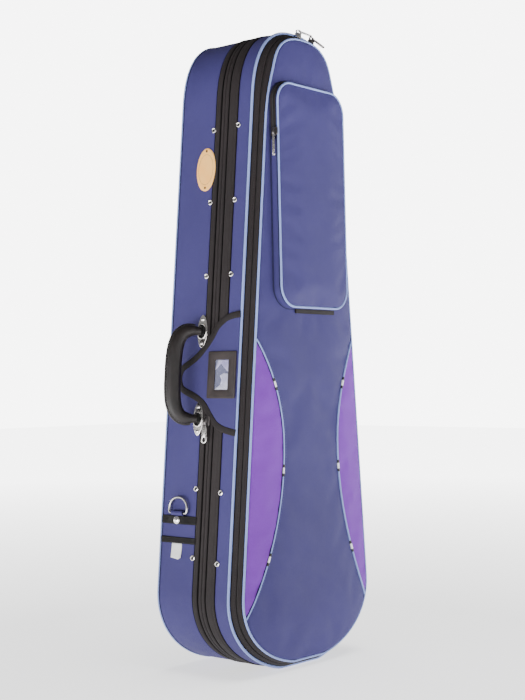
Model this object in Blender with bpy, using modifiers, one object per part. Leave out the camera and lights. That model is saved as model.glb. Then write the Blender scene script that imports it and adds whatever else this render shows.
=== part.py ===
"""Full-size shaped violin case, standing on its wide end.

Metres, +Z up. The front, with the music pocket, faces -Y and the handle is on the -X side.
The origin is on the floor, under the parting plane's middle.
"""

import math

import bmesh
import bpy
from mathutils import Matrix, Vector

# Outline of the case seen from the front
HEIGHT = 0.790
SIDE_AT_FLOOR = 0.142  # half width of the straight sides, carried down to the floor
TAPER = 0.0871  # half width lost for each metre of height
BOTTOM_CENTRE = 0.100
BOTTOM_RADIUS = 0.1025  # more than BOTTOM_CENTRE, which leaves a flat to stand on
TOP_CENTRE = 0.700
TOP_RADIUS = HEIGHT - TOP_CENTRE
TOP_POWER = 2.5
ARC_STEPS = 8

# Depths, along Y
BACK_Y = 0.065
PARTING_Y = -0.007
REAR_TAPE_Y = 0.0073
LID_TAPE_Y = -0.0275
LID_FRONT_Y = -0.049
CLOSURE_Y = -0.0573  # where the music pocket's zip meets
PANEL_PIPING_Y = -0.0646
PANEL_BACK_Y = -0.0666
PANEL_FRONT_Y = -0.0700
POCKET_FRONT_Y = -0.0820

# Walls
EDGE_RADIUS = 0.008
COVER = 0.0012
GAP = 0.0003
SHELL = 0.005
LINING = 0.002
PIPING = 0.0018
SHELL_INSET = COVER + GAP
LINING_INSET = SHELL_INSET + SHELL + GAP
INSIDE_INSET = LINING_INSET + LINING + 2 * GAP
CLOSURE_INSET = 0.0065
PANEL_INSET = 0.0113

# Handle
HANDLE_Y = 0.011
HANDLE_Z = 0.3615
HANDLE_SPREAD = 0.0535  # from the handle's middle to each plate
HANDLE_TILT = math.radians(42)
PIVOT_RISE = 0.006
GRIP_REACH = 0.030
GRIP_RADIUS = 0.0095
PLATE_SIZE = (0.0166, 0.040)
PLATE_THICKNESS = 0.0022
BARREL_RADIUS = 0.0042
BORE_RADIUS = 0.0022
SCREW_OFFSET = 0.0125

# Closing tongue and its label holder
TONGUE_TIP_Y = 0.0465
HOLDER_Y = -0.0250
HOLDER_Z = 0.3613
HOLDER_HALF = (0.0215, 0.0286)
WINDOW_HALF = (0.0108, 0.0182)

# Fittings on the left side's rear half
BADGE_Y = 0.0195
BADGE_Z = 0.6165
BADGE_SIZE = (0.031, 0.054)
BADGE_RIVET_OFFSET = 0.0225
WEBBING_MIDDLE_Y = 0.0315
WEBBING_LENGTH = 0.050
WEBBING_LEVELS = (("upper", 0.181, 0.190), ("lower", 0.157, 0.164))
D_RING_Y = 0.0345
D_RING_Z = 0.1935
D_RING_HALF_WIDTH = 0.0147
D_RING_HEIGHT = 0.019
D_RING_WIRE = 0.0015

# Inside
CRADLE_TOP = 0.430
CRADLE_FRONT_Y = 0.020
BOX_SIZE_X = 0.116
BOX_HEIGHT = 0.048
BOX_Z = 0.688
BOX_FRONT_Y = 0.016
BOX_WALL = 0.003
BOX_LID_THICKNESS = 0.003
SLEEVE_SIZE = (0.100, 0.012, 0.034)
SLEEVE_Z = 0.718
CLIP_X = 0.038
CLIP_Z = 0.150

# Zip sliders: a body, and a pull of (width, length) from its pivot
SLIDER_SIZE = (0.013, 0.0095, 0.0034)
MAIN_PULL = (0.009, 0.0240)
MUSIC_PULL = (0.0045, 0.0240)
POCKET_PULL = (0.0035, 0.0270)

# Accessory pocket on the front panel
POCKET_HALF_WIDTH = 0.067
POCKET_LOW = 0.443
POCKET_HIGH = 0.719
POCKET_SPLIT = 0.649
POCKET_RADIUS = 0.024

COLOURS = {
    "blue_fabric": ((0.075, 0.090, 0.260), 0.80, 0.0),
    "purple_fabric": ((0.225, 0.125, 0.420), 0.75, 0.0),
    "piping": ((0.330, 0.420, 0.660), 0.60, 0.0),
    "black_tape": ((0.022, 0.021, 0.023), 0.75, 0.0),
    "laminate": ((0.560, 0.420, 0.270), 0.60, 0.0),
    "plush": ((0.030, 0.040, 0.110), 0.95, 0.0),
    "leather": ((0.012, 0.011, 0.011), 0.45, 0.0),
    "chrome": ((0.800, 0.790, 0.780), 0.15, 1.0),
    "brass": ((0.830, 0.620, 0.330), 0.35, 1.0),
    "clear_film": ((0.700, 0.720, 0.740), 0.10, 0.0),
    "white_label": ((0.800, 0.800, 0.790), 0.70, 0.0),
}


# Geometry helpers


def half_width(z):
    width = SIDE_AT_FLOOR - TAPER * z
    if z < BOTTOM_CENTRE:
        width *= math.sqrt(1 - ((BOTTOM_CENTRE - z) / BOTTOM_RADIUS) ** 2)
    if z > TOP_CENTRE:
        part = min(1.0, (z - TOP_CENTRE) / TOP_RADIUS)
        width *= (1 - part**TOP_POWER) ** (1 / TOP_POWER)
    return width


def inset_polygon(points, inset):
    """A convex polygon, listed anticlockwise, moved inwards by inset."""
    moved = []
    for i, here in enumerate(points):
        before = (Vector(here) - Vector(points[i - 1])).normalized()
        after = (Vector(points[(i + 1) % len(points)]) - Vector(here)).normalized()
        normals = Vector((-before.y, before.x)), Vector((-after.y, after.x))
        share = inset / (1 + normals[0].dot(normals[1]))
        moved.append(tuple(Vector(here) + share * (normals[0] + normals[1])))
    return moved


def outline(inset=0.0):
    """The case's (x, z) outline, anticlockwise seen from the front, moved inwards by inset."""
    flat = math.acos(BOTTOM_CENTRE / BOTTOM_RADIUS)
    levels = []
    for i in range(ARC_STEPS + 1):
        angle = flat + (math.pi / 2 - flat) * i / ARC_STEPS
        levels.append(BOTTOM_CENTRE - BOTTOM_RADIUS * math.cos(angle))
    for i in range(ARC_STEPS):
        angle = math.pi / 2 * i / ARC_STEPS
        levels.append(TOP_CENTRE + TOP_RADIUS * math.sin(angle) ** (2 / TOP_POWER))
    half = [(half_width(z), z) for z in levels]
    ring = half + [(0.0, HEIGHT)] + [(-x, z) for x, z in reversed(half)]
    return inset_polygon(ring, inset)


def below(points, top):
    """The part of a polygon that is lower than top."""
    kept = []
    for (x0, z0), (x1, z1) in zip(points, points[1:] + points[:1]):
        if z0 <= top:
            kept.append((x0, z0))
        if (z0 - top) * (z1 - top) < 0:
            share = (top - z0) / (z1 - z0)
            kept.append((x0 + share * (x1 - x0), top))
    return kept


def rounded_rectangle(low_x, high_x, low_z, high_z, radius, steps=5):
    centres = (
        (high_x - radius, low_z + radius, -90),
        (high_x - radius, high_z - radius, 0),
        (low_x + radius, high_z - radius, 90),
        (low_x + radius, low_z + radius, 180),
    )
    points = []
    for x, z, start in centres:
        for i in range(steps + 1):
            angle = math.radians(start + 90 * i / steps)
            points.append((x + radius * math.cos(angle), z + radius * math.sin(angle)))
    return points


def ellipse(x, z, across, tall, steps=20):
    turns = [2 * math.pi * i / steps for i in range(steps)]
    return [(x + across / 2 * math.cos(t), z + tall / 2 * math.sin(t)) for t in turns]


def lens(across, tall, steps=8):
    """A pointed oval between two arcs."""
    points = []
    for side in (1, -1):
        for i in range(steps):
            share = -1 + 2 * i / steps
            points.append((side * across / 2 * (1 - share**2), side * tall / 2 * share))
    return points


# Frames that flat pieces are drawn in: local Z is the way that the surface faces

SIDE_UP = Vector((TAPER, 0, 1)).normalized()
SIDE_OUT = Vector((-1, 0, TAPER)).normalized()
FRONT = Matrix.Rotation(math.pi / 2, 4, "X")
LEFT = Matrix(
    (
        (0, SIDE_UP.x, SIDE_OUT.x, -SIDE_AT_FLOOR),
        (-1, 0, 0, 0),
        (0, SIDE_UP.z, SIDE_OUT.z, 0),
        (0, 0, 0, 1),
    )
)


def left(y, z, rise=0.0):
    """A frame on the left side's straight face: local X to the front, local Y up the side."""
    return LEFT @ Matrix.Translation((-y, z / SIDE_UP.z, rise))


def on_arch(x, y, rise):
    """A frame on the outline's top right: local X along the outline, local Z out of it."""
    ring = outline()
    for (x0, z0), (x1, z1) in zip(ring, ring[1:]):
        if x1 <= x <= x0 and z0 > TOP_CENTRE:
            along = Vector((x0 - x1, 0, z0 - z1)).normalized()
            height = z1 + (x - x1) * (z0 - z1) / (x0 - x1)
    out = Vector((-along.z, 0, along.x))
    across = out.cross(along)
    frame = Matrix((along, across, out)).transposed().to_4x4()
    frame.translation = Vector((x, y, height)) + rise * out
    return frame


# Object helpers


def clear_scene():
    for obj in list(bpy.data.objects):
        bpy.data.objects.remove(obj)


def collection(name, hidden=False):
    made = bpy.data.collections.new(name)
    bpy.context.scene.collection.children.link(made)
    made.hide_render = hidden
    return made


def material(name):
    found = bpy.data.materials.get(name)
    if found:
        return found
    colour, roughness, metallic = COLOURS[name]
    made = bpy.data.materials.new(name)
    made.use_nodes = True
    shader = made.node_tree.nodes["Principled BSDF"]
    shader.inputs["Base Color"].default_value = (*colour, 1)
    shader.inputs["Roughness"].default_value = roughness
    shader.inputs["Metallic"].default_value = metallic
    return made


def link(name, data, slot, frame=None):
    obj = bpy.data.objects.new(name, data)
    if slot:
        data.materials.append(material(slot))
        CASE.objects.link(obj)
    else:
        obj.hide_render = True
        obj.display_type = "WIRE"
        CUTTERS.objects.link(obj)
    if frame is not None:
        obj.matrix_world = frame
    return obj


def mesh_of(bm, name):
    mesh = bpy.data.meshes.new(name)
    bm.to_mesh(mesh)
    bm.free()
    mesh.shade_smooth()
    mesh.set_sharp_from_angle(angle=math.radians(35))
    return mesh


def shell(name, rings, capped, thickness, slot):
    """An open surface through rings of points, closed at the last if capped, thickened inwards."""
    bm = bmesh.new()
    rows = [[bm.verts.new(point) for point in ring] for ring in rings]
    for low, high in zip(rows, rows[1:]):
        for i in range(len(low)):
            bm.faces.new((low[i - 1], low[i], high[i], high[i - 1]))
    if capped:
        bm.faces.new(rows[-1])
    bmesh.ops.recalc_face_normals(bm, faces=bm.faces)
    middle = sum((v.co for v in bm.verts), Vector()) / len(bm.verts)
    outward = sum(
        f.normal.dot(f.calc_center_median() - middle) * f.calc_area() for f in bm.faces
    )
    if outward < 0:
        bmesh.ops.reverse_faces(bm, faces=bm.faces)
    obj = link(name, mesh_of(bm, name), slot)
    wall = obj.modifiers.new("wall", "SOLIDIFY")
    wall.thickness = thickness
    wall.offset = -1
    wall.use_even_offset = True
    return obj


def ring_at(inset, y, shape=outline):
    return [(x, y, z) for x, z in shape(inset)]


def tray(name, inset, rim_y, end_y, thickness, slot, radius=EDGE_RADIUS, shape=outline):
    """An open box of the outline's shape, inset inside the case's surface, rounded at its closed end."""
    way = math.copysign(1, end_y - rim_y)
    inner = radius - inset
    arc_y = end_y - way * radius
    rings = [ring_at(inset, rim_y, shape)]
    for degrees in (0, 45, 90):
        angle = math.radians(degrees)
        step = radius - inner * math.cos(angle)
        rings.append(ring_at(step, arc_y + way * inner * math.sin(angle), shape))
    return shell(name, rings, True, thickness, slot)


def band(name, profile, thickness, slot):
    """A closed strip round the case through (inset, y) points."""
    return shell(name, [ring_at(*place) for place in profile], False, thickness, slot)


def flat(name, loops, frame, low, high, slot):
    """A flat piece between two heights in its frame. Loops after the first are holes."""
    curve = bpy.data.curves.new(name, "CURVE")
    curve.dimensions = "2D"
    curve.fill_mode = "BOTH"
    curve.extrude = (high - low) / 2
    for loop in loops:
        spline = curve.splines.new("POLY")
        spline.points.add(len(loop) - 1)
        for point, (x, y) in zip(spline.points, loop):
            point.co = (x, y, 0, 1)
        spline.use_cyclic_u = True
    return link(name, curve, slot, frame @ Matrix.Translation((0, 0, (low + high) / 2)))


def block(name, size, frame, slot, bevel=0.0):
    bm = bmesh.new()
    bmesh.ops.create_cube(bm, matrix=Matrix.Diagonal((*size, 1)))
    obj = link(name, mesh_of(bm, name), slot, frame)
    if bevel:
        rounding = obj.modifiers.new("edges", "BEVEL")
        rounding.width = bevel
        rounding.segments = 1
    return obj


def disc(name, radius, top_radius, low, high, frame, slot, segments=16):
    bm = bmesh.new()
    bmesh.ops.create_cone(
        bm, cap_ends=True, segments=segments, radius1=radius, radius2=top_radius, depth=high - low
    )
    return link(
        name, mesh_of(bm, name), slot, frame @ Matrix.Translation((0, 0, (low + high) / 2))
    )


def tube(name, points, radius, slot, cyclic=False, radii=None, resolution=2):
    curve = bpy.data.curves.new(name, "CURVE")
    curve.dimensions = "3D"
    curve.bevel_depth = radius
    curve.bevel_resolution = resolution
    curve.use_fill_caps = not cyclic
    spline = curve.splines.new("POLY")
    spline.points.add(len(points) - 1)
    for i, (point, place) in enumerate(zip(spline.points, points)):
        point.co = (*place, 1)
        point.radius = radii[i] if radii else 1
    spline.use_cyclic_u = cyclic
    return link(name, curve, slot)


def boolean(obj, other, operation):
    step = obj.modifiers.new(other.name, "BOOLEAN")
    step.object = other
    step.operation = operation


# Rear half


def make_rear_half():
    tray("rear_cover", 0.0, REAR_TAPE_Y + GAP, BACK_Y, COVER, "blue_fabric")
    tray("rear_shell", SHELL_INSET, PARTING_Y + 0.0004, BACK_Y, SHELL, "laminate")
    lining_end = BACK_Y - LINING_INSET
    rings = [
        ring_at(LINING_INSET, PARTING_Y + 0.001),
        ring_at(LINING_INSET, lining_end - 0.003),
        ring_at(LINING_INSET + 0.003, lining_end),
    ]
    shell("rear_lining", rings, True, LINING, "plush")
    tape = [(0.0, PARTING_Y + 0.0004), (0.0, REAR_TAPE_Y)]
    band("rear_zipper_tape", tape, COVER, "black_tape")
    tube("rear_piping", ring_at(PIPING, BACK_Y), PIPING, "piping", cyclic=True)


def make_handle():
    for level, sign in (("upper", 1), ("lower", -1)):
        z = HANDLE_Z + sign * HANDLE_SPREAD
        frame = left(HANDLE_Y, z, 2 * GAP)
        bm = bmesh.new()
        bm.faces.new([bm.verts.new((x, y, PLATE_THICKNESS)) for x, y in lens(*PLATE_SIZE)])
        plate = link(f"handle_plate_{level}", mesh_of(bm, "plate"), "chrome", frame)
        body = plate.modifiers.new("thickness", "SOLIDIFY")
        body.thickness = PLATE_THICKNESS
        body.offset = -1
        along = Matrix.Translation((0, 0, PIVOT_RISE - 2 * GAP)) @ FRONT
        barrel = disc(f"barrel_{level}", BARREL_RADIUS, BARREL_RADIUS, -0.0055, 0.0055, frame @ along, None)
        bore = disc(f"bore_{level}", BORE_RADIUS, BORE_RADIUS, -0.02, 0.02, frame @ along, None)
        boolean(plate, barrel, "UNION")
        boolean(plate, bore, "DIFFERENCE")
        for i, end in enumerate((1, -1)):
            number = i + (1 if sign > 0 else 3)
            place = left(HANDLE_Y, z + end * SCREW_OFFSET, PLATE_THICKNESS + 3 * GAP)
            disc(f"handle_screw_{number}", 0.0024, 0.0014, 0, 0.0013, place, "chrome", 12)

    pivot = left(HANDLE_Y, HANDLE_Z, PIVOT_RISE)
    swing = pivot @ Matrix.Rotation(-HANDLE_TILT, 4, "Y")

    def at(along, out):
        return tuple(swing @ Vector((0, along, out)))

    half = [(HANDLE_SPREAD, 0.0105), (0.0528, 0.0150), (0.0485, 0.0222), (0.0370, 0.0278), (0.0190, 0.0295)]
    path = half + [(0.0, GRIP_REACH)] + [(-along, out) for along, out in reversed(half)]
    width = [0.62, 0.70, 0.82, 0.92, 0.98]
    widths = width + [1.0] + width[::-1]
    tube("handle_grip", [at(*p) for p in path], GRIP_RADIUS, "leather", radii=widths, resolution=3)
    hook = [(0.0060, 0), (-0.0080, 0), (-0.0095, 0.0020), (-0.0095, 0.0060), (-0.0070, 0.0082)]
    hook.append((-0.0020, 0.0084))
    for level, sign in (("upper", 1), ("lower", -1)):
        points = [at(sign * (HANDLE_SPREAD + along), out) for along, out in hook]
        tube(f"handle_pin_{level}", points, 0.0015, "chrome")


def make_left_fittings():
    badge = [ellipse(0, 0, *BADGE_SIZE)]
    flat("badge", badge, left(BADGE_Y, BADGE_Z), GAP, 0.0015, "brass")
    for level, offset in (("upper", BADGE_RIVET_OFFSET), ("lower", -BADGE_RIVET_OFFSET)):
        place = left(BADGE_Y, BADGE_Z + offset, 0.0018)
        disc(f"badge_rivet_{level}", 0.0015, 0.0009, 0, 0.0008, place, "brass", 12)
    for level, low, high in WEBBING_LEVELS:
        place = left(WEBBING_MIDDLE_Y, (low + high) / 2, 0.0009)
        block(f"webbing_{level}", (WEBBING_LENGTH, high - low, 0.0012), place, "black_tape")
    block("dring_tab", (0.022, 0.013, 0.0014), left(0.0350, 0.1835, 0.0025), "blue_fabric")
    disc("dring_rivet", 0.0049, 0.0036, 0, 0.0012, left(0.0350, 0.1840, 0.0035), "chrome")
    block("care_tag", (0.016, 0.017, 0.0006), left(0.0375, 0.1473, 0.0006), "white_label")
    half = D_RING_HALF_WIDTH
    ring = rounded_rectangle(-half, half, -half, D_RING_HEIGHT, 0.0125, 5)
    ring = [p for p in ring if p[1] > 0.005] + [(-half, 0.0), (half, 0.0)]
    frame = left(D_RING_Y, D_RING_Z, 0.0042)
    points = [tuple(frame @ Vector((x, y, 0))) for x, y in ring]
    tube("d_ring", points, D_RING_WIRE, "chrome", cyclic=True)


def make_inside():
    """The foam cradle and what the rear half carries."""
    stations = (
        (0.030, 0.030), (0.082, 0.044), (0.107, 0.090), (0.102, 0.140), (0.066, 0.185),
        (0.060, 0.225), (0.078, 0.275), (0.087, 0.320), (0.078, 0.365), (0.045, 0.390),
    )
    hole = list(stations) + [(-x, z) for x, z in reversed(stations)]
    back = -(BACK_Y - INSIDE_INSET - 0.0008)
    outer = below(outline(INSIDE_INSET + 2 * GAP), CRADLE_TOP)
    flat("violin_cradle", [outer, hole], FRONT, back, -CRADLE_FRONT_Y, "plush")
    rest = [(-0.030, 0.0), (0.030, 0.0), (0.030, 0.034), (0.016, 0.034)]
    rest += [(0.012, 0.016), (-0.012, 0.016), (-0.016, 0.034), (-0.030, 0.034)]
    upwards = Matrix(((1, 0, 0, 0), (0, -1, 0, -back), (0, 0, -1, 0.472), (0, 0, 0, 1)))
    flat("neck_rest", [rest], upwards, 0.0, 0.024, "plush")
    strap_y = -back - 0.0362
    block("neck_strap", (0.064, 0.0016, 0.016), Matrix.Translation((0, strap_y, 0.460)), "black_tape")
    middle = Matrix.Translation((0, (BOX_FRONT_Y - back) / 2, BOX_Z))
    box = block("accessory_box", (BOX_SIZE_X, -back - BOX_FRONT_Y, BOX_HEIGHT), middle, "plush")
    hollow_size = (BOX_SIZE_X - 2 * BOX_WALL, 0.060, BOX_HEIGHT - 2 * BOX_WALL)
    hollow = block("box_hollow", hollow_size, Matrix.Translation((0, 0.021, BOX_Z)), None)
    boolean(box, hollow, "DIFFERENCE")
    lid_y = BOX_FRONT_Y - BOX_LID_THICKNESS / 2 - GAP
    lid = Matrix.Translation((0, lid_y, BOX_Z))
    size = (BOX_SIZE_X, BOX_LID_THICKNESS, BOX_HEIGHT)
    block("accessory_box_lid", size, lid, "plush", bevel=0.001)


# Lid half


def make_lid_half():
    tray("lid_cover", 0.0, LID_TAPE_Y - GAP, LID_FRONT_Y, COVER, "blue_fabric")
    tray("lid_shell", SHELL_INSET, PARTING_Y - 0.0004, LID_FRONT_Y, SHELL, "laminate")
    lining_end = LID_FRONT_Y + LINING_INSET
    rings = [
        ring_at(LINING_INSET, PARTING_Y - 0.001),
        ring_at(LINING_INSET, lining_end + 0.003),
        ring_at(LINING_INSET + 0.003, lining_end),
    ]
    shell("lid_lining", rings, True, LINING, "plush")
    tape = [(0.0, PARTING_Y - 0.0004), (0.0, LID_TAPE_Y)]
    band("lid_zipper_tape", tape, COVER, "black_tape")
    tube("lid_piping", ring_at(PIPING, LID_FRONT_Y), PIPING, "piping", cyclic=True)
    gusset = [(0.0040, -0.0495), (CLOSURE_INSET - 0.0001, CLOSURE_Y + GAP)]
    band("pocket_zipper_tape", gusset, COVER, "black_tape")

    inner = LID_FRONT_Y + INSIDE_INSET + 0.0008
    width, depth, height = SLEEVE_SIZE
    place = Matrix.Translation((0, inner + depth / 2, SLEEVE_Z))
    sleeve = block("bow_tip_sleeve", SLEEVE_SIZE, place, "plush")
    mouth = Matrix.Translation((0, inner + depth / 2, SLEEVE_Z - 0.005))
    hollow = block("sleeve_mouth", (width - 0.006, depth - 0.004, height), mouth, None)
    boolean(sleeve, hollow, "DIFFERENCE")
    for side, sign in (("left", -1), ("right", 1)):
        shape = [rounded_rectangle(-0.005, 0.005, -0.020, 0.020, 0.0045, 3)]
        place = Matrix.Translation((sign * CLIP_X, 0, CLIP_Z)) @ FRONT
        flat(f"bow_clip_{side}", shape, place, -(inner + 0.010), -(inner + 0.0002), "leather")


def make_flap():
    """The tongue under the handle, sewn to the lid, and the label holder on it."""
    top = [(-0.0470, 0.4370), (-0.0260, 0.4315), (-0.0120, 0.4200), (0.0035, 0.3990)]
    top += [(0.0190, 0.3830), (0.0340, 0.3770), (TONGUE_TIP_Y, 0.3700)]
    low = [(TONGUE_TIP_Y, 0.3450), (0.0340, 0.3385), (0.0190, 0.3350), (0.0035, 0.3270)]
    low += [(-0.0080, 0.3150), (-0.0260, 0.2960), (-0.0470, 0.2900)]
    shape = [(-y, z / SIDE_UP.z) for y, z in top + low]
    flat("closing_flap", [shape], LEFT, GAP, 0.0017, "blue_fabric")
    middle = left(HOLDER_Y, HOLDER_Z)
    across, tall = HOLDER_HALF
    edge = rounded_rectangle(-across, across, -tall, tall, 0.002, 1)
    across, tall = WINDOW_HALF
    window = rounded_rectangle(-across, across, -tall, tall, 0.001, 1)
    across, tall = across - GAP, tall - GAP
    film = rounded_rectangle(-across, across, -tall, tall, 0.001, 1)
    flat("id_frame", [edge, window], middle, 0.0020, 0.0040, "leather")
    flat("id_window", [film], middle, 0.0020, 0.0028, "clear_film")


# Music pocket and the accessory pocket on it


def inset_edge(z):
    """Half width of the centre panel between the curved seams."""
    waist, above, under = 0.275, 2.5, 1.6
    return 0.054 + (above if z > waist else under) * (z - waist) ** 2


def make_music_pocket():
    flat("music_panel", [outline(PANEL_INSET)], FRONT, -PANEL_BACK_Y, -PANEL_FRONT_Y, "blue_fabric")
    gusset = [(CLOSURE_INSET + 0.0001, CLOSURE_Y - GAP), (0.0093, -0.0625)]
    band("panel_zipper_tape", gusset, COVER, "black_tape")
    piping = ring_at(PANEL_INSET - 0.0004, PANEL_PIPING_Y + 0.0002)
    tube("panel_piping", piping, PIPING, "piping", cyclic=True, resolution=1)
    low, high, steps = 0.092, 0.392, 12
    levels = [low + (high - low) * i / steps for i in range(steps + 1)]
    rise = -PANEL_FRONT_Y + GAP
    for side, sign in (("left", -1), ("right", 1)):
        inner = [(sign * (inset_edge(z) + 0.0024), z) for z in levels]
        outer = [(sign * (half_width(z) - 0.0135), z) for z in (high, 0.250, low)]
        flat(f"inset_{side}", [inner + outer], FRONT, rise, rise + 0.0008, "purple_fabric")
        seam = [(sign * inset_edge(z), -rise - PIPING, z) for z in levels]
        tube(f"inset_piping_{side}", seam, PIPING, "piping", resolution=1)


def pocket_outline(inset=0.0):
    half = POCKET_HALF_WIDTH - inset
    radius = POCKET_RADIUS - inset
    return rounded_rectangle(-half, half, POCKET_LOW + inset, POCKET_HIGH - inset, radius)


def make_accessory_pocket():
    rim = PANEL_FRONT_Y - GAP
    for name, low, high in (
        ("pocket_body", POCKET_SPLIT, 1.0),
        ("pocket_flap", 0.0, POCKET_SPLIT + 2 * GAP),
    ):
        face = tray(
            name, 0.0, rim, POCKET_FRONT_Y, 0.0015, "blue_fabric", radius=0.0035, shape=pocket_outline
        )
        size = (0.3, 0.1, high - low)
        place = Matrix.Translation((0, POCKET_FRONT_Y, (low + high) / 2))
        boolean(face, block(f"{name}_cut", size, place, None), "DIFFERENCE")
    edge = pocket_outline(-0.0012)
    y = POCKET_FRONT_Y - 0.0004
    split = POCKET_SPLIT + GAP
    side = POCKET_HALF_WIDTH + 0.0012
    swing_room = 0.003
    lower = [(x, z) for x, z in edge if z < split - swing_room]
    upper = [(x, z) for x, z in edge if z > split + swing_room]
    turn = next(i for i, (x, z) in enumerate(lower) if x < 0)
    lower = lower[turn:] + lower[:turn]
    lower = [(-side, split - swing_room)] + lower + [(side, split - swing_room)]
    upper = [(side, split + swing_room)] + upper + [(-side, split + swing_room)]
    for name, line in (("pocket_piping", lower), ("pocket_flap_piping", upper)):
        tube(name, [(x, y, z) for x, z in line], 0.0014, "piping", resolution=1)


# Zip sliders and their pulls


def make_slider(name, frame, pull):
    """A slider on a zip, and its pull, which lies along local X from a pivot above it."""
    block(f"{name}_slider", SLIDER_SIZE, frame, "chrome", bevel=0.0008)
    across, length = pull
    start = frame @ Matrix.Translation((0.0035, 0, 0.0036))
    shape = rounded_rectangle(-0.0015, length, -across / 2, across / 2, across / 2.5, 3)
    slot = rounded_rectangle(
        length - 0.0085, length - 0.0035, -across / 5, across / 5, across / 6, 2
    )
    flat(f"{name}_pull", [shape, slot], start, -0.0007, 0.0007, "chrome")


def make_sliders():
    down = Matrix.Rotation(-math.pi / 2, 4, "Z")
    make_slider("main", left(-0.0040, 0.3060, 0.0024) @ down, MAIN_PULL)
    for side, x in (("left", 0.004), ("right", 0.030)):
        make_slider(f"music_{side}", on_arch(x, -0.0545, 0.0024), MUSIC_PULL)
    out_left = Matrix(((0, 0, -1, 0), (0, 1, 0, 0), (1, 0, 0, 0), (0, 0, 0, 1)))
    place = Matrix.Translation((-POCKET_HALF_WIDTH - 0.0021, -0.0755, 0.6560)) @ out_left
    make_slider("pocket", place @ Matrix.Rotation(math.pi, 4, "Z"), POCKET_PULL)


clear_scene()
CASE = collection("violin_case")
CUTTERS = collection("cutters", hidden=True)
make_rear_half()
make_handle()
make_left_fittings()
make_inside()
make_lid_half()
make_flap()
make_music_pocket()
make_accessory_pocket()
make_sliders()
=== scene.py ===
"""The looks of the shaped violin case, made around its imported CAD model. Metres, +Z up."""

import math

import bmesh
import bpy
import numpy as np
from mathutils import Matrix, Vector, noise


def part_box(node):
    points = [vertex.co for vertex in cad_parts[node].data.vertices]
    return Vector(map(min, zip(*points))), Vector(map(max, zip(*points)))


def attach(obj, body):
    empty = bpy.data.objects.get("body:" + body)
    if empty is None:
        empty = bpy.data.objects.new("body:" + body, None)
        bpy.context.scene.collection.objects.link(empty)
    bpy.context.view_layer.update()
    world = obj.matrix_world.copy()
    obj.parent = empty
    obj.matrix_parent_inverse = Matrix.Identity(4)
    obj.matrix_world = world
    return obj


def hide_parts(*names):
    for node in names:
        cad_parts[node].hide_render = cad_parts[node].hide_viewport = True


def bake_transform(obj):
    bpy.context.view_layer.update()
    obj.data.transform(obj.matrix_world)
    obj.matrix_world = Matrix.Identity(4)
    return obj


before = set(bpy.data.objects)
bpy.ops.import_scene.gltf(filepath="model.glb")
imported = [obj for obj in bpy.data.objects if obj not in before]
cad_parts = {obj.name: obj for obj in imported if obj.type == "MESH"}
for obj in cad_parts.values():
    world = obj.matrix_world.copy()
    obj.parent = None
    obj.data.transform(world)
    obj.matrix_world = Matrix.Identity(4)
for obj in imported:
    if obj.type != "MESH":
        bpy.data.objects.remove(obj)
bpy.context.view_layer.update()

# Outline of the case seen from the front, as in the CAD
HEIGHT = 0.79
SIDE_AT_FLOOR = 0.142
TAPER = 0.0871
BOTTOM_CENTRE = 0.1
BOTTOM_RADIUS = 0.1025
TOP_CENTRE = 0.7
TOP_RADIUS = HEIGHT - TOP_CENTRE
TOP_POWER = 2.5

# Depths, along Y
BACK_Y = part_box("rear_cover")[1].y
REAR_TAPE_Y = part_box("rear_zipper_tape")[1].y
PARTING_Y = -0.007
LID_TAPE_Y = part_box("lid_zipper_tape")[0].y
LID_FRONT_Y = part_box("lid_cover")[0].y
CLOSURE_Y = -0.0573
PANEL_EDGE_Y = -0.0652

# The music panel's place in the outline, its crown and its softer shoulders
PANEL_CROWN = 0.0072
PANEL_INSET = 0.0113
CLOSURE_INSET = 0.0065
SHOULDER_EASE = 0.085
SHOULDER_FOOT = 0.665
SEAM_PIPING = 0.00135

# The stretch of the right side that the hinge takes up
HINGE_LOW = 0.098
HINGE_HIGH = 0.716

# Cloth thicknesses, and the spacing of points along swept cords
CLOTH = 0.001
TAPE = 0.0008
CORD_STEP = 0.006
SEAM_STEP = 0.004

FRONT = (0, -1, 0)
BACK = (0, 1, 0)
MIDDLE_Z = 0.4
SIDE_UP = Vector((TAPER, 0, 1)).normalized()
SIDE_OUT = Vector((-1, 0, TAPER)).normalized()
FACE_FRONT = Matrix.Rotation(math.pi / 2, 4, "X")

# Viewpoint, lights and backdrop
CAMERA_PLACE = Vector((-1.3214, -1.1004, 0.3556))
CAMERA_YAW = math.radians(50.066)
CAMERA_PITCH = math.radians(1.254)
CAMERA_ROLL = math.radians(-0.568)
CAMERA_LENS = 69.11
BACKDROP_LIGHT = 0.25
BACKDROP_SEEN = 7.0
FLOOR_NEAR_GLOW = 1.3
FLOOR_FAR_GLOW = 5.6


# Outline and curves


def mm(*points):
    """Points given in millimetres, as metres."""
    return [tuple(c / 1000 for c in point) for point in points]


def turns(count, end=2 * math.pi):
    """Angles spread evenly over a turn, without its end."""
    return [end * i / count for i in range(count)]


def half_width(z):
    width = SIDE_AT_FLOOR - TAPER * z
    if z < BOTTOM_CENTRE:
        width *= math.sqrt(max(0.0, 1 - ((BOTTOM_CENTRE - z) / BOTTOM_RADIUS) ** 2))
    if z > TOP_CENTRE:
        part = min(1.0, (z - TOP_CENTRE) / TOP_RADIUS)
        width *= (1 - part**TOP_POWER) ** (1 / TOP_POWER)
    return width


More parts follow.
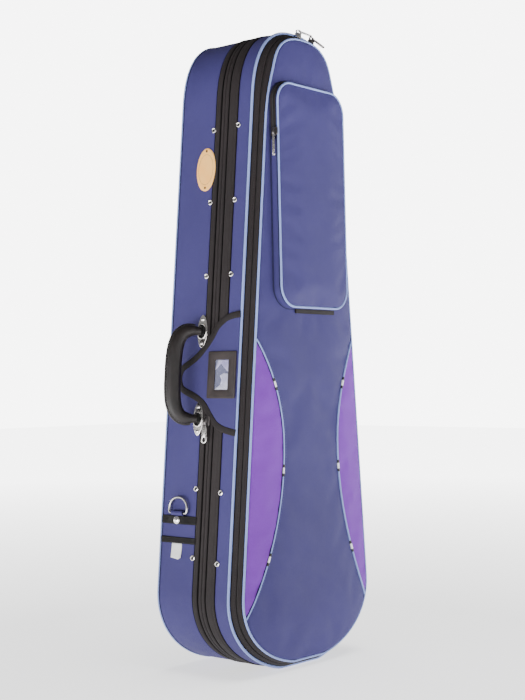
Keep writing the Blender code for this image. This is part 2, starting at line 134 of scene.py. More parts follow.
def outline(inset=0.0, arc=26, side=34):
    """The case's (x, z) outline as an array, anticlockwise seen from the front, moved inwards by inset."""
    flat = math.acos(BOTTOM_CENTRE / BOTTOM_RADIUS)
    foot = [flat + angle for angle in turns(arc, math.pi / 2 - flat)]
    levels = [BOTTOM_CENTRE - BOTTOM_RADIUS * math.cos(angle) for angle in foot]
    levels += list(np.linspace(BOTTOM_CENTRE, TOP_CENTRE, side, endpoint=False))
    crown = turns(arc, math.pi / 2)
    levels += [TOP_CENTRE + TOP_RADIUS * math.sin(angle) ** (2 / TOP_POWER) for angle in crown]
    half = [(half_width(z), z) for z in levels]
    flat_half = half[0][0]
    floor = [(x, 0.0) for x in np.linspace(-flat_half, flat_half, 10)[1:-1]]
    points = np.array(half + [(0.0, HEIGHT)] + [(-x, z) for x, z in reversed(half)] + floor)
    before = points - np.roll(points, 1, 0)
    after = np.roll(points, -1, 0) - points
    n0, n1 = (
        np.stack([-way[:, 1], way[:, 0]], 1) / np.linalg.norm(way, axis=1)[:, None] for way in (before, after)
    )
    share = inset / (1 + (n0 * n1).sum(1))
    return points + share[:, None] * (n0 + n1)


def at_y(points, y, low=0.0002):
    """Outline points at a depth, pressed up where they would pass through the floor."""
    return [Vector((x, y, max(z, low))) for x, z in points]


def rounder(points, amount=1.0):
    """The outline with softer shoulders at its top, as the music panel has."""
    top = TOP_CENTRE + TOP_RADIUS - PANEL_INSET
    share = np.clip((points[:, 1] - SHOULDER_FOOT) / (top - SHOULDER_FOOT), 0, 1)
    softer = points.copy()
    softer[:, 0] *= 1 - SHOULDER_EASE * amount * np.sin(math.pi * share**1.43) ** 2
    return softer


def width_at(polygon, z):
    """The half width at a height of a symmetric outline."""
    right = polygon[polygon[:, 0] >= 0]
    order = np.argsort(right[:, 1])
    return float(np.interp(z, right[order, 1], right[order, 0]))


def edge_distance(polygon, points):
    """How far each point is from the outline."""
    d = np.roll(polygon, -1, 0) - polygon
    rel = points[:, None, :] - polygon[None]
    t = np.clip((rel * d[None]).sum(2) / (d * d).sum(1)[None], 0, 1)
    return np.linalg.norm(rel - t[:, :, None] * d[None], axis=2).min(1)


def dome(depth, reach, power):
    """From 0 at an outline to 1 where the distance from it passes reach."""
    return 1 - (1 - np.clip(depth / reach, 0, 1)) ** power


def closer_at_ends(low, high, count, even):
    """Levels between two heights, closer together at both ends. even is the share of equal spacing."""
    steps = np.linspace(0, 1, count)
    return low + (high - low) * (even * steps + (1 - even) * (1 - np.cos(math.pi * steps)) / 2)


def smooth_path(points, per=8, closed=False):
    """A Catmull-Rom curve through points."""
    points = [Vector(p) for p in points]
    count = len(points)
    found = []
    for i in range(count if closed else count - 1):
        near = [(i + k) % count if closed else min(max(i + k, 0), count - 1) for k in (-1, 0, 1, 2)]
        p = [points[k] for k in near]
        for s in range(per):
            t = s / per
            straight = 2 * p[1] + (p[2] - p[0]) * t
            bend = (2 * p[0] - 5 * p[1] + 4 * p[2] - p[3]) * t**2
            found.append(0.5 * (straight + bend + (3 * p[1] - p[0] - 3 * p[2] + p[3]) * t**3))
    if not closed:
        found.append(points[-1])
    return found


def resample(path, step, closed=False):
    """Points a fixed distance apart along a path."""
    pts = np.array([tuple(p) for p in path])
    if closed:
        pts = np.vstack([pts, pts[:1]])
    length = np.concatenate([[0], np.cumsum(np.linalg.norm(np.diff(pts, axis=0), axis=1))])
    marks = np.linspace(0, length[-1], max(2, int(round(length[-1] / step))) + 1)
    if closed:
        marks = marks[:-1]
    return [Vector([np.interp(m, length, pts[:, k]) for k in range(3)]) for m in marks]


def left(y, z, rise=0.0):
    """A point on the left side's straight face."""
    base = Vector((-SIDE_AT_FLOOR, 0, 0)) + float(z) / SIDE_UP.z * SIDE_UP + float(rise) * SIDE_OUT
    return Vector((base.x, y, base.z))


def left_frame(y, z, rise=0.0):
    """Local X to the front, local Y up the side, local Z outwards."""
    made = Matrix((Vector(FRONT), SIDE_UP, SIDE_OUT)).transposed().to_4x4()
    made.translation = left(y, z, rise)
    return made


def radial(point):
    """Roughly outwards from the case's middle line at a point on its edge."""
    z = min(max(point.z, BOTTOM_CENTRE), TOP_CENTRE)
    return Vector((point.x, 0, point.z - z)) + Vector((0, 0, TAPER * abs(point.x) if z == point.z else 0))


# Materials


class Graph:
    """A material's node tree with short calls."""

    def __init__(self, name, **sockets):
        self.material = bpy.data.materials.new(name)
        self.material.use_nodes = True
        self.tree = self.material.node_tree
        self.shader = self.tree.nodes["Principled BSDF"]
        for key, value in sockets.items():
            self.shader.inputs[key.replace("_", " ")].default_value = value
        coordinates = self.tree.nodes.new("ShaderNodeTexCoord")
        self.uv = coordinates.outputs["UV"]
        self.place = coordinates.outputs["Object"]

    def put(self, value, socket):
        if isinstance(value, bpy.types.NodeSocket):
            self.tree.links.new(value, socket)
        else:
            socket.default_value = value

    def add(self, kind, settings=None, **inputs):
        """A new node. An input is named, or numbered as i0, i1 and so on."""
        node = self.tree.nodes.new(kind)
        for key, value in (settings or {}).items():
            setattr(node, key, value)
        for key, value in inputs.items():
            self.put(value, node.inputs[int(key[1:]) if key[1:].isdigit() else key.replace("_", " ")])
        return node

    def math(self, operation, a, b=0.0, c=0.5):
        return self.add("ShaderNodeMath", {"operation": operation}, i0=a, i1=b, i2=c).outputs[0]

    def noise(self, scale, detail=2.0, vector=None):
        return self.add("ShaderNodeTexNoise", Vector=vector or self.place, Scale=scale,
                        Detail=detail).outputs[0]

    def ramp(self, value, low, high, start=0.0, end=1.0):
        node = self.add("ShaderNodeValToRGB", Fac=value)
        for element, colour, place in zip(node.color_ramp.elements, (low, high), (start, end)):
            element.color = (*colour, 1)
            element.position = place
        return node.outputs[0]

    def mix(self, factor, a, b, blend="MIX"):
        return self.add("ShaderNodeMix", {"data_type": "RGBA", "blend_type": blend}, i0=factor, i6=a,
                        i7=b).outputs[2]

    def waves(self, pitch, kind):
        """The height of a weave with this thread pitch, from 0 to 1, read from UVs in metres."""
        parts = self.add("ShaderNodeSeparateXYZ", Vector=self.uv)
        sway = self.math("MULTIPLY", self.noise(55), 1.5)
        u, v = (self.math("MULTIPLY_ADD", parts.outputs[i], 2 * math.pi / pitch, sway) for i in (0, 1))
        along = self.math("SINE", v)
        if kind == "rib":
            return self.math("MULTIPLY_ADD", along, 0.5)
        across = self.math("SINE", self.math("ADD", u, v) if kind == "twill" else u)
        product = self.math("MULTIPLY", across, along)
        return product if kind == "twill" else self.math("MULTIPLY_ADD", product, 0.5)

    def bump(self, height, strength, distance, after=None):
        node = self.add("ShaderNodeBump", Height=height, Strength=strength, Distance=distance)
        if after:
            self.tree.links.new(after, node.inputs["Normal"])
        return node.outputs[0]

    def finish(self, colour, roughness=None, normal=None):
        for socket, name in ((colour, "Base Color"), (roughness, "Roughness"), (normal, "Normal")):
            if socket:
                self.tree.links.new(socket, self.shader.inputs[name])
        return self.material


def scaled(colour, by):
    return tuple(c * by for c in colour)


def woven(name, colour, pitch, kind="plain", sheen=0.06, depth=0.00018, wear=0.1, roughness=0.66):
    """Woven cloth: thread height, a slubby yarn tone and slight soiling and fading."""
    tint = (*[min(1.0, 2.5 * c) for c in colour], 1)
    g = Graph(name, Roughness=roughness, Specular_IOR_Level=0.22, Sheen_Weight=sheen, Sheen_Roughness=0.5,
              Sheen_Tint=tint)
    weave = g.waves(pitch, kind)
    base = g.ramp(g.noise(7, 3), scaled(colour, 1 - wear), scaled(colour, 1 + wear), 0.3, 0.7)
    threads = g.ramp(weave, (0.88, 0.88, 0.88), (1, 1, 1), 0.1, 0.9)
    slubs = g.ramp(g.noise(950, 3), (0.84, 0.84, 0.84), (1, 1, 1), 0.3, 0.7)
    tinted = g.mix(1.0, g.mix(1.0, base, threads, "MULTIPLY"), slubs, "MULTIPLY")
    rough = g.math("MULTIPLY_ADD", g.noise(60), 0.18, roughness - 0.08)
    return g.finish(tinted, rough, g.bump(g.noise(22), 0.08, 0.0016, g.bump(weave, 0.45, depth)))


def grained(name, tone, low, high, span, grain, strength, depth, rough=None, **sockets):
    """A tone that drifts between two colours, and a grain for the bump and, with rough, the roughness."""
    g = Graph(name, **sockets)
    texture = g.noise(*grain)
    varied = g.math("MULTIPLY_ADD", texture, *rough) if rough else None
    return g.finish(g.ramp(g.noise(*tone), low, high, *span), varied, g.bump(texture, strength, depth))


def plush():
    g = Graph("plush_blue", Roughness=0.95, Specular_IOR_Level=0.15, Sheen_Weight=0.8, Sheen_Roughness=0.5)
    pile = g.noise(900, 4)
    brushed = g.noise(24, 4)
    soft = g.ramp(brushed, (0.016, 0.024, 0.075), (0.04, 0.055, 0.15), 0.3, 0.7)
    tone = g.mix(0.5, soft, g.ramp(pile, (0.014, 0.02, 0.065), (0.05, 0.066, 0.17), 0.3, 0.7))
    return g.finish(tone, None, g.bump(pile, 0.6, 0.0008, g.bump(brushed, 0.3, 0.002)))


def leather():
    g = Graph("leather_black", Roughness=0.42, Specular_IOR_Level=0.4)
    cells = g.add("ShaderNodeTexVoronoi", {"feature": "DISTANCE_TO_EDGE"}, Vector=g.place, Scale=850.0)
    grain = g.ramp(cells.outputs["Distance"], (0, 0, 0), (1, 1, 1), 0.0, 0.25)
    creases = g.noise(160, 5)
    tone = g.ramp(g.noise(30, 4), (0.006, 0.004, 0.0038), (0.015, 0.0105, 0.01), 0.35, 0.7)
    rough = g.math("MULTIPLY_ADD", creases, 0.25, 0.32)
    return g.finish(tone, rough, g.bump(grain, 0.22, 0.0002, g.bump(creases, 0.25, 0.0005)))


def laminate():
    g = Graph("laminate_board", Roughness=0.6)
    stretched = g.add("ShaderNodeMapping", Vector=g.place, Scale=(1.0, 12.0, 1.0)).outputs[0]
    fibres = g.noise(40, 5, stretched)
    tone = g.ramp(fibres, (0.36, 0.24, 0.14), (0.62, 0.46, 0.3), 0.3, 0.7)
    return g.finish(tone, None, g.bump(fibres, 0.3, 0.0005))


def make_materials():
    made = {"plush": plush(), "leather": leather(), "laminate": laminate()}
    tape = ("rib", 0.03, 0.0003, 0.2)
    webbing = ("twill", 0.03, 0.0004, 0.2)
    for key, name, *look in (
        ("blue_fabric", "nylon_blue", (0.049, 0.0425, 0.162), 0.00075),
        ("purple_fabric", "nylon_purple", (0.188, 0.032, 0.43), 0.00075),
        # Dark navy: the cradle's rim cord, and the cords beside pipings and seams, which are painted shade.
        ("flange", "flange_navy", (0.015, 0.015, 0.06), 0.0008),
        ("black_tape", "tape_black", (0.021, 0.0165, 0.0172), 0.0011, *tape),
        ("binding", "binding_black", (0.016, 0.0125, 0.013), 0.0009, *tape),
        ("webbing", "webbing_black", (0.008, 0.007, 0.0075), 0.0016, *webbing),
        ("lining", "lining_navy", (0.012, 0.014, 0.055), 0.0007),
    ):
        made[key] = woven(name, *look)
    made["piping"] = woven("piping_blue", (0.27, 0.35, 0.72), 0.0008, roughness=0.5)
    made["white_label"] = woven("label_white", (0.9, 0.9, 0.89), 0.0006, wear=0.04)

    dark, wide, middle = (0.004, 0.004, 0.004), (0, 1), (0.3, 0.7)
    fine = (0.08, 0.0002)
    for key, name, tone, low, high, span, grain, bump, rough, sockets in (
        # Black thread, and also painted shade in the eyelets' holes, the handle sockets and the screw slots.
        ("thread", "thread_black_and_hole_shade", (1500,), dark, (0.016, 0.014, 0.014), wide, (2500,), (0.4, 0.0001), None,
         {"Roughness": 0.55}),
        ("blue_thread", "thread_blue", (1500,), (0.045, 0.055, 0.17), (0.11, 0.13, 0.33), wide, (2500,),
         (0.4, 0.0001), None, {"Roughness": 0.55}),
        # Near-black, painted shade for the tapes' grooves and the badge pins' slots.
        ("groove_shade", "groove_painted_shade", (700,), (0.0015, 0.0012, 0.0012), (0.005, 0.004, 0.004), wide, (900,),
         (0.4, 0.0002), None, {"Roughness": 0.9, "Specular_IOR_Level": 0.1}),
        ("leatherette", "leatherette_brown_black", (60, 4), (0.017, 0.0115, 0.0115), (0.036, 0.025, 0.024),
         middle,
         (700, 4), (0.5, 0.0003), None, {"Roughness": 0.55, "Specular_IOR_Level": 0.4}),
        ("chrome", "chrome", (45, 3), (0.66, 0.62, 0.6), (0.9, 0.87, 0.85), (0.25, 0.6), (300, 6), fine,
         (0.22, 0.08), {"Roughness": 0.16, "Metallic": 1.0}),
        ("steel", "steel", (45, 3), (0.36, 0.35, 0.36), (0.58, 0.56, 0.56), (0.25, 0.7), (300, 6), fine, None,
         {"Roughness": 0.25, "Metallic": 1.0}),
        ("gunmetal", "gunmetal", (45, 3), (0.1, 0.09, 0.09), (0.24, 0.22, 0.22), (0.25, 0.7), (300, 6), fine,
         None,
         {"Roughness": 0.3, "Metallic": 1.0}),
        ("brass", "brass_satin", (40, 4), (1.0, 0.48, 0.12), (1.0, 0.56, 0.17), middle, (500, 5),
         (0.15, 0.0002),
         (0.25, 0.24), {"Roughness": 0.45, "Specular_IOR_Level": 0.3}),
        ("old_brass", "old_brass", (400, 3), (0.1, 0.045, 0.025), (0.24, 0.13, 0.07), middle, (600, 3),
         (0.2, 0.0002), None, {"Roughness": 0.4, "Metallic": 0.8}),
        ("clear_film", "window_film", (80,), (0.3, 0.32, 0.46), (0.5, 0.52, 0.66), wide, (55,), (0.5, 0.003),
         None,
         {"Roughness": 0.06, "Specular_IOR_Level": 0.8, "Alpha": 0.22, "Coat_Weight": 1.0}),
        # A pale card whose blotches of blue are painted reflection of the crumpled film over it.
        ("card", "name_card_painted_reflection", (25, 3), (0.4, 0.35, 0.66), (0.88, 0.86, 0.96), (0.4, 0.6), (300, 4),
         (0.2, 0.0002),
         None, {"Roughness": 0.45}),
        ("reflector", "reflective_tape", (1400,), (0.72, 0.74, 0.76), (0.95, 0.96, 0.97), (0.3, 0.6), (1400,),
         (0.3, 0.0001), None, {"Roughness": 0.35, "Specular_IOR_Level": 0.7}),
    ):
        made[key] = grained(name, tone, low, high, span, grain, *bump, rough, **sockets)
    return made


MATERIALS = make_materials()


# Mesh builders


def place_object(name, mesh, material, body=None):
    mesh.materials.clear()
    mesh.materials.append(MATERIALS[material])
    obj = bpy.data.objects.new(name, mesh)
    bpy.context.scene.collection.objects.link(obj)
    if body:
        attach(obj, body)
    return obj


def thicken(obj, thickness, even=False):
    """Gives a surface its thickness, inwards."""
    solid = obj.modifiers.new("thickness", "SOLIDIFY")
    solid.thickness = thickness
    solid.offset = -1
    solid.use_even_offset = even


def distances(points):
    """How far along a line each of its points is."""
    return np.concatenate([[0], np.cumsum([math.dist(a, b) for a, b in zip(points, points[1:])])])


def grid(name, rows, material, body, closed=False, uv=None, thickness=0.0, facing=None, inside=None):
    """A surface through rows of points, with UVs in metres, facing away from inside or along facing."""
    count = len(rows[0])
    if uv is None:
        ring = list(rows[len(rows) // 2])
        us = distances(ring + ring[:1] if closed else ring)
        vs = distances([row[0] for row in rows])
        uv = [[(u, v) for u in us] for v in vs]
    faces, loops = [], []
    for r in range(len(rows) - 1):
        for i in range(count if closed else count - 1):
            j = (i + 1) % count
            faces.append((r * count + i, r * count + j, (r + 1) * count + j, (r + 1) * count + i))
            loops += [uv[r][i], uv[r][i + 1], uv[r + 1][i + 1], uv[r + 1][i]]
    mesh = bpy.data.meshes.new(name)
    mesh.from_pydata([tuple(p) for row in rows for p in row], [], faces)
    layer = mesh.uv_layers.new(name="cloth")
    layer.data.foreach_set("uv", np.array(loops, np.float32).ravel())
    mesh.update()
    score = 0.0
    for polygon in mesh.polygons:
        away = Vector(facing) if facing is not None else polygon.center - Vector(inside)
        score += polygon.normal.dot(away) * polygon.area
    if score < 0:
        mesh.flip_normals()
    mesh.shade_smooth()
    obj = place_object(name, mesh, material)
    if thickness:
        thicken(obj, thickness, even=True)
    if body:
        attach(obj, body)
    return obj


def band(name, profile, material, body, thickness=CLOTH, inside=None, eases=None):
    """A closed strip round the case through (inset, y) points. eases share out the softer shoulders."""
    eases = eases or [0.0] * len(profile)
    rows = [at_y(rounder(outline(inset), ease), y) for (inset, y), ease in zip(profile, eases)]
    inside = inside or Vector((0, sum(y for _, y in profile) / len(profile), MIDDLE_Z))
    return grid(name, rows, material, body, closed=True, thickness=thickness, inside=inside)


def skin(bm, rows, closed=False):
    """Faces round rings of vertices, joined into a loop or capped at both ends."""
    sides = len(rows[0])
    made = []
    for r in range(len(rows) if closed else len(rows) - 1):
        a, b = rows[r], rows[(r + 1) % len(rows)]
        for i in range(sides):
            j = (i + 1) % sides
            made.append((bm.faces.new((a[i], a[j], b[j], b[i])), r, i))
    if not closed:
        bm.faces.new(rows[0])
        bm.faces.new(rows[-1])
    return made


def from_bmesh(name, bm, material, body, angle=50):
    mesh = bpy.data.meshes.new(name)
    bm.to_mesh(mesh)
    bm.free()
    mesh.shade_smooth()
    mesh.set_sharp_from_angle(angle=math.radians(angle))
    return place_object(name, mesh, material, body)


def upright(way, here, along):
    """The outward way at a point, square to the path."""
    away = way(here) if callable(way) else Vector(way)
    return (away - away.dot(along) * along).normalized()


def sweep(name, path, section, material, body, closed=False, out=FRONT, scale=None):
    """A section of (across, outward) points swept along a path. out gives the outward way at each point."""
    rows = []
    last = len(path) - 1
    for i, here in enumerate(path):
        ahead = path[(i + 1) % len(path) if closed else min(i + 1, last)]
        along = (ahead - path[i - 1 if closed else max(i - 1, 0)]).normalized()
        away = upright(out, here, along)
        across = along.cross(away)
        size = scale[i] if scale else 1.0
        rows.append([here + size * (a * across + b * away) for a, b in section])
    bm = bmesh.new()
    layer = bm.loops.layers.uv.new("cloth")
    lengths = distances(path + path[:1])
    rounds = distances(section + section[:1])
    for face, r, i in skin(bm, [[bm.verts.new(p) for p in row] for row in rows], closed):
        for loop, (a, b) in zip(face.loops, ((r, i), (r, i + 1), (r + 1, i + 1), (r + 1, i))):
            loop[layer].uv = (lengths[a], rounds[b])
    bmesh.ops.recalc_face_normals(bm, faces=bm.faces)
    return from_bmesh(name, bm, material, body)


def oval(across, tall, sides):
    """Points round an oval, from its half sizes."""
    return [(across * math.cos(t), tall * math.sin(t)) for t in turns(sides)]


def circle(radius, sides=14):
    return oval(radius, radius, sides)


def flattened(across, outward, sides=18, power=2.6):
    """A rounded flat section, such as a binding or a webbing edge."""

    def softened(value):
        return math.copysign(abs(value) ** (2 / power), value)

    return [(across * softened(math.cos(t)), outward * softened(math.sin(t))) for t in turns(sides)]


def cord_round(name, inset, y, radius, material, body, ease=0.0, low=None, sides=8):
    """A round cord that follows the outline all the way round the case."""
    path = at_y(rounder(outline(inset), ease), y, radius if low is None else low)
    return sweep(name, resample(path, CORD_STEP, True), circle(radius, sides), material, body, True, BACK)


def stitches(name, path, out, body, material="thread", pitch=0.0034, length=0.0023, radius=0.00022,
             closed=False):
    """A line of separate stitches, each a small bowed capsule of thread."""
    marks = resample(path, pitch, closed)
    bm = bmesh.new()
    sides, cuts, lift = 6, 4, 0.00005
    for i, here in enumerate(marks[: len(marks) if closed else -1]):
        along = (marks[(i + 1) % len(marks)] - here).normalized()
        away = upright(out, here, along)
        across = along.cross(away)
        rows = []
        for k in range(cuts + 1):
            t = k / cuts
            size = radius * (0.45 + 0.55 * math.sin(math.pi * t) ** 0.5)
            middle = here + along * length * t + away * (lift + radius * (0.9 * math.sin(math.pi * t) - 0.5))
            ring = [middle + size * (math.cos(s) * across + math.sin(s) * away) for s in turns(sides)]
            rows.append([bm.verts.new(p) for p in ring])
        skin(bm, rows)
    bmesh.ops.recalc_face_normals(bm, faces=bm.faces)
    return from_bmesh(name, bm, material, body)


def turned(name, profile, matrix, material, body, segments=28, squash=(1.0, 1.0)):
    """A turned piece: (radius, height) points in millimetres round local Z."""
    bm = bmesh.new()
    a, b = squash
    skin(bm, [[bm.verts.new((r * a * math.cos(t), r * b * math.sin(t), height)) for t in turns(segments)]
              for r, height in mm(*profile)])
    bmesh.ops.recalc_face_normals(bm, faces=bm.faces)
    bmesh.ops.transform(bm, matrix=matrix, verts=bm.verts)
    return from_bmesh(name, bm, material, body, angle=40)


def plate(name, loops, matrix, low, high, material, body, bevel=0.0003, segments=2):
    """A flat piece with rounded edges between two heights in its frame. Loops after the first are holes."""
    curve = bpy.data.curves.new(name, "CURVE")
    curve.dimensions = "2D"
    curve.fill_mode = "BOTH"
    curve.extrude = (high - low) / 2 - bevel
    curve.bevel_depth = bevel
    curve.bevel_resolution = segments
    curve.offset = -bevel
    for loop in loops:
        spline = curve.splines.new("POLY")
        spline.points.add(len(loop) - 1)
        for point, (x, y) in zip(spline.points, loop):
            point.co = (x, y, 0, 1)
        spline.use_cyclic_u = True
    guide = bpy.data.objects.new(name + "_guide", curve)
    bpy.context.scene.collection.objects.link(guide)
    graph = bpy.context.evaluated_depsgraph_get()
    mesh = bpy.data.meshes.new_from_object(guide.evaluated_get(graph))
    bpy.data.objects.remove(guide)
    bm = bmesh.new()
    bm.from_mesh(mesh)
    bpy.data.meshes.remove(mesh)
    bmesh.ops.remove_doubles(bm, verts=bm.verts, dist=1e-5)
    bmesh.ops.transform(bm, matrix=matrix @ Matrix.Translation((0, 0, (low + high) / 2)), verts=bm.verts)
    return from_bmesh(name, bm, material, body, angle=35)


def rounded_rectangle(low_x, high_x, low_z, high_z, radius, steps=8):
    points = []
    for x, z, start in (
        (high_x - radius, low_z + radius, -90),
        (high_x - radius, high_z - radius, 0),
        (low_x + radius, high_z - radius, 90),
        (low_x + radius, low_z + radius, 180),
    ):
        for i in range(steps + 1):
            angle = math.radians(start + 90 * i / steps)
            points.append((x + radius * math.cos(angle), z + radius * math.sin(angle)))
    return points


def rounded_box(half_x, half_z, radius, steps=8):
    """A rounded rectangle about the origin, from its half sizes in millimetres."""
    return rounded_rectangle(*mm((-half_x, half_x, -half_z, half_z, radius))[0], steps)


def face_rows(zs, spread, columns, depth):
    """Points on a face, as (x, z) pairs and as rows with their UVs. spread gives each row's two ends."""
    flat = np.array([(x, z) for z in zs for x in np.linspace(*spread(z), columns)])
    points = [Vector((x, y, z)) for (x, z), y in zip(flat, depth(flat))]
    starts = range(0, len(flat), columns)
    return flat, [points[i : i + columns] for i in starts], [flat[i : i + columns] for i in starts]


def face_edge(count, columns):
    """The numbers of the points on the edge of a face made by face_rows."""
    return [i for i in range(count) if i % columns in (0, columns - 1) or i < columns or i >= count - columns]


def panel_sheet(name, polygon, y, sign, crown, material, body, reach):
    """A sheet filling an outline, crowned away from the case, with UVs from its own plane."""

    def spread(z):
        width = max(width_at(polygon, z), 0.0006)
        return -width, width

    def depth(flat):
        return y + sign * crown * dome(edge_distance(polygon, flat), reach, 2.2)

    zs = closer_at_ends(polygon[:, 1].min(), polygon[:, 1].max(), 90, 0.35)
    flat, rows, uv = face_rows(zs, spread, 40, depth)
    return grid(name, rows, material, body, uv=uv, thickness=CLOTH, facing=(0, sign, 0))


def rounded_end(inset, end_y, way, corner, degrees=(30, 60, 90)):
    """Profile points round the corner between a side and the face at its end."""
    angles = [math.radians(d) for d in degrees]
    return [(inset + corner - corner * math.cos(t), end_y - way * corner * (1 - math.sin(t))) for t in angles]


def ripple(point, scale, height):
    """A gentle unevenness, as glued cloth has over board."""
    return height * noise.noise(Vector(point) * scale)


def puffed(obj, pins, pressure, frames, cap):
    """Cloth held along its pinned points and blown up from behind, its moves to the front kept under cap."""
    before = np.array([v.co for v in obj.data.vertices])
    group = obj.vertex_groups.new(name="held")
    group.add([int(i) for i in pins], 1.0, "REPLACE")
    cloth = obj.modifiers.new("cloth", "CLOTH")
    for setting, value in (
        ("quality", 4),
        ("mass", 0.25),
        ("tension_stiffness", 12),
        ("compression_stiffness", 12),
        ("bending_stiffness", 2.0),
        ("vertex_group_mass", "held"),
        ("use_pressure", True),
        ("uniform_pressure_force", pressure),
        ("shrink_min", -0.004),
    ):
        setattr(cloth.settings, setting, value)
    cloth.settings.effector_weights.gravity = 0
    scene = bpy.context.scene
    for step in range(1, frames + 1):
        scene.frame_set(step)
    graph = bpy.context.evaluated_depsgraph_get()
    mesh = obj.evaluated_get(graph).to_mesh()
    after = np.array([v.co for v in mesh.vertices])
    obj.evaluated_get(graph).to_mesh_clear()
    obj.modifiers.remove(cloth)
    obj.vertex_groups.remove(group)
    scene.frame_set(1)
    forward = cap * np.tanh((after - before) @ np.array(FRONT) / cap)
    final = before + forward[:, None] * np.array(FRONT)[None]
    obj.data.vertices.foreach_set("co", final.astype(np.float32).ravel())
    obj.data.update()


# Covers, tapes and pipings of the two halves


def make_rear_cover():
    corner = 0.0035
    profile = [(0.0, REAR_TAPE_Y + 0.0002)]
    profile += [(0.0, y) for y in np.linspace(REAR_TAPE_Y + 0.004, BACK_Y - corner, 12)]
    profile += rounded_end(0, BACK_Y, 1, corner)
    rows = []
    for inset, y in profile:
        ring = at_y(outline(inset), y)
        for p in ring:
            if 0.011 < y < BACK_Y - 0.006 and p.z > 0.006 and abs(p.x) > 0.03:
                push = ripple((p.x, y, p.z), 14, 0.0007) + ripple((p.x, y, p.z), 45, 0.00025)
                p.x += math.copysign(push, p.x)
        rows.append(ring)
    side = grid("rear_side_fabric", rows, "blue_fabric", "rear", closed=True, thickness=CLOTH,
                inside=(0, 0.035, MIDDLE_Z))
    panel_sheet("rear_back_fabric", outline(corner + 0.0001), BACK_Y, 1.0, 0.0022, "blue_fabric",
                "rear", 0.05)
    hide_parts("rear_cover")


def make_lid_cover():
    corner = 0.003
    profile = [(0.0, LID_TAPE_Y - 0.0002)]
    profile += [(0.0, y) for y in np.linspace(LID_TAPE_Y - 0.003, LID_FRONT_Y + corner, 6)]
    profile += rounded_end(0, LID_FRONT_Y, -1, corner)
    side = band("lid_side_fabric", profile, "blue_fabric", "lid")
    panel_sheet("lid_front_fabric", outline(corner + 0.0001), LID_FRONT_Y, -1.0, 0.0006,
                "blue_fabric", "lid", 0.03)
    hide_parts("lid_cover")


def lower_at_hinge(tape):
    """Near the hinge line the tape lies lower, so the open halves don't press into each other."""
    for v in tape.data.vertices:
        near = 1 - abs(v.co.y - PARTING_Y) / 0.009
        inside = min(v.co.z - HINGE_LOW, HINGE_HIGH - v.co.z) / 0.006
        if v.co.x > 0 and near > 0 and inside > 0:
            v.co.x -= 0.0028 * near**0.5 * min(1.0, inside)


def make_zip_band():
    """The rear tape, the strip over the coil, and the lid tape, with near-black cords laid as painted shade
    in the sewn grooves between them and along their edges.
    """
    y0 = REAR_TAPE_Y
    y1 = PARTING_Y
    rear = mm((0, 0), (-0.6, -0.3), (-0.9, -1.5), (-0.9, -5.8), (-0.5, -6.6), (1, -7.1), (1.2, -8.5),
              (0.2, -9), (-0.6, -9.7), (-0.8, -11.5))
    rear = [(inset, y0 + y) for inset, y in rear] + [(-0.0007, y1 + 0.001), (-0.0002, y1 + 0.0001)]
    lid = mm((-0.2, -0.1), (-0.7, -1), (-0.8, -3), (-0.6, -4.6), (0.3, -5.2), (1.1, -5.6), (1.1, -6.6),
             (-0.2, -7.1), (-0.8, -7.8), (-1.1, -10), (-0.9, -11.8), (-1.1, -13.4), (-1, -16.5),
             (-0.4, -17.8), (-0.8, -19), (-0.4, -20.3))
    lid = [(inset, y1 + y) for inset, y in lid] + [(0.0, LID_TAPE_Y)]
    tape = band("rear_tape_band", rear, "black_tape", "rear", TAPE)
    lower_at_hinge(tape)
    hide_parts("rear_zipper_tape")
    tape = band("lid_tape_band", lid, "black_tape", "lid", TAPE)
    lower_at_hinge(tape)
    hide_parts("lid_zipper_tape")
    coil = cord_round("main_zip_coil", 0.0007, y1, 0.0006, "thread", "rear", low=0.0008)
    lower_at_hinge(coil)
    # Near-black cords: painted shade in the grooves and at the tapes' edges.
    for name, inset, y, radius, body in (
        ("rear", 0.0003, y0 - 0.0079, 0.001, "rear"),
        ("lid", 0.0002, y1 - 0.0062, 0.001, "lid"),
        ("edge", 0.0, y0 + 0.0004, 0.0007, "rear"),
        ("lid_edge", 0.0, LID_TAPE_Y - 0.0004, 0.0007, "lid"),
    ):
        cord_round(f"groove_{name}", inset, y, radius, "groove_shade", body)
    for name, inset, y, body in (("rear", -0.0009, y0 - 0.0022, "rear"),
                                 ("lid_outer", -0.0004, y1 - 0.0178, "lid")):
        stitches(f"{name}_tape_stitches", at_y(outline(inset), y), radial, body, closed=True)


def make_pipings():
    """A round piping all the way round each edge, and beside it a dark navy cord that is painted shade along
    its seam.
    """
    for name, inset, y, body, node, radius, shade_inset, shade_y in (
        ("rear_edge_piping", 0.0004, BACK_Y + 0.0003, "rear", "rear_piping", 0.0014, 0.0004, -0.0013),
        ("lid_edge_piping", 0.0004, LID_FRONT_Y - 0.0004, "lid", "lid_piping", 0.0017, 0.0004, 0.0014),
        ("panel_edge_piping", PANEL_INSET - 0.0012, PANEL_EDGE_Y + 0.0009, "music_panel", "panel_piping",
         0.0015,
         0.0012, 0.0002),
    ):
        ease = 1.0 if body == "music_panel" else 0.0
        obj = cord_round(name, inset, y, radius, "piping", body, ease, sides=14)
        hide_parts(node)
        # The dark navy cord beside the piping is painted shade.
        cord_round(f"{name}_seam", inset + shade_inset, y + shade_y, radius * 0.8, "flange", body, ease,
                   low=radius, sides=10)


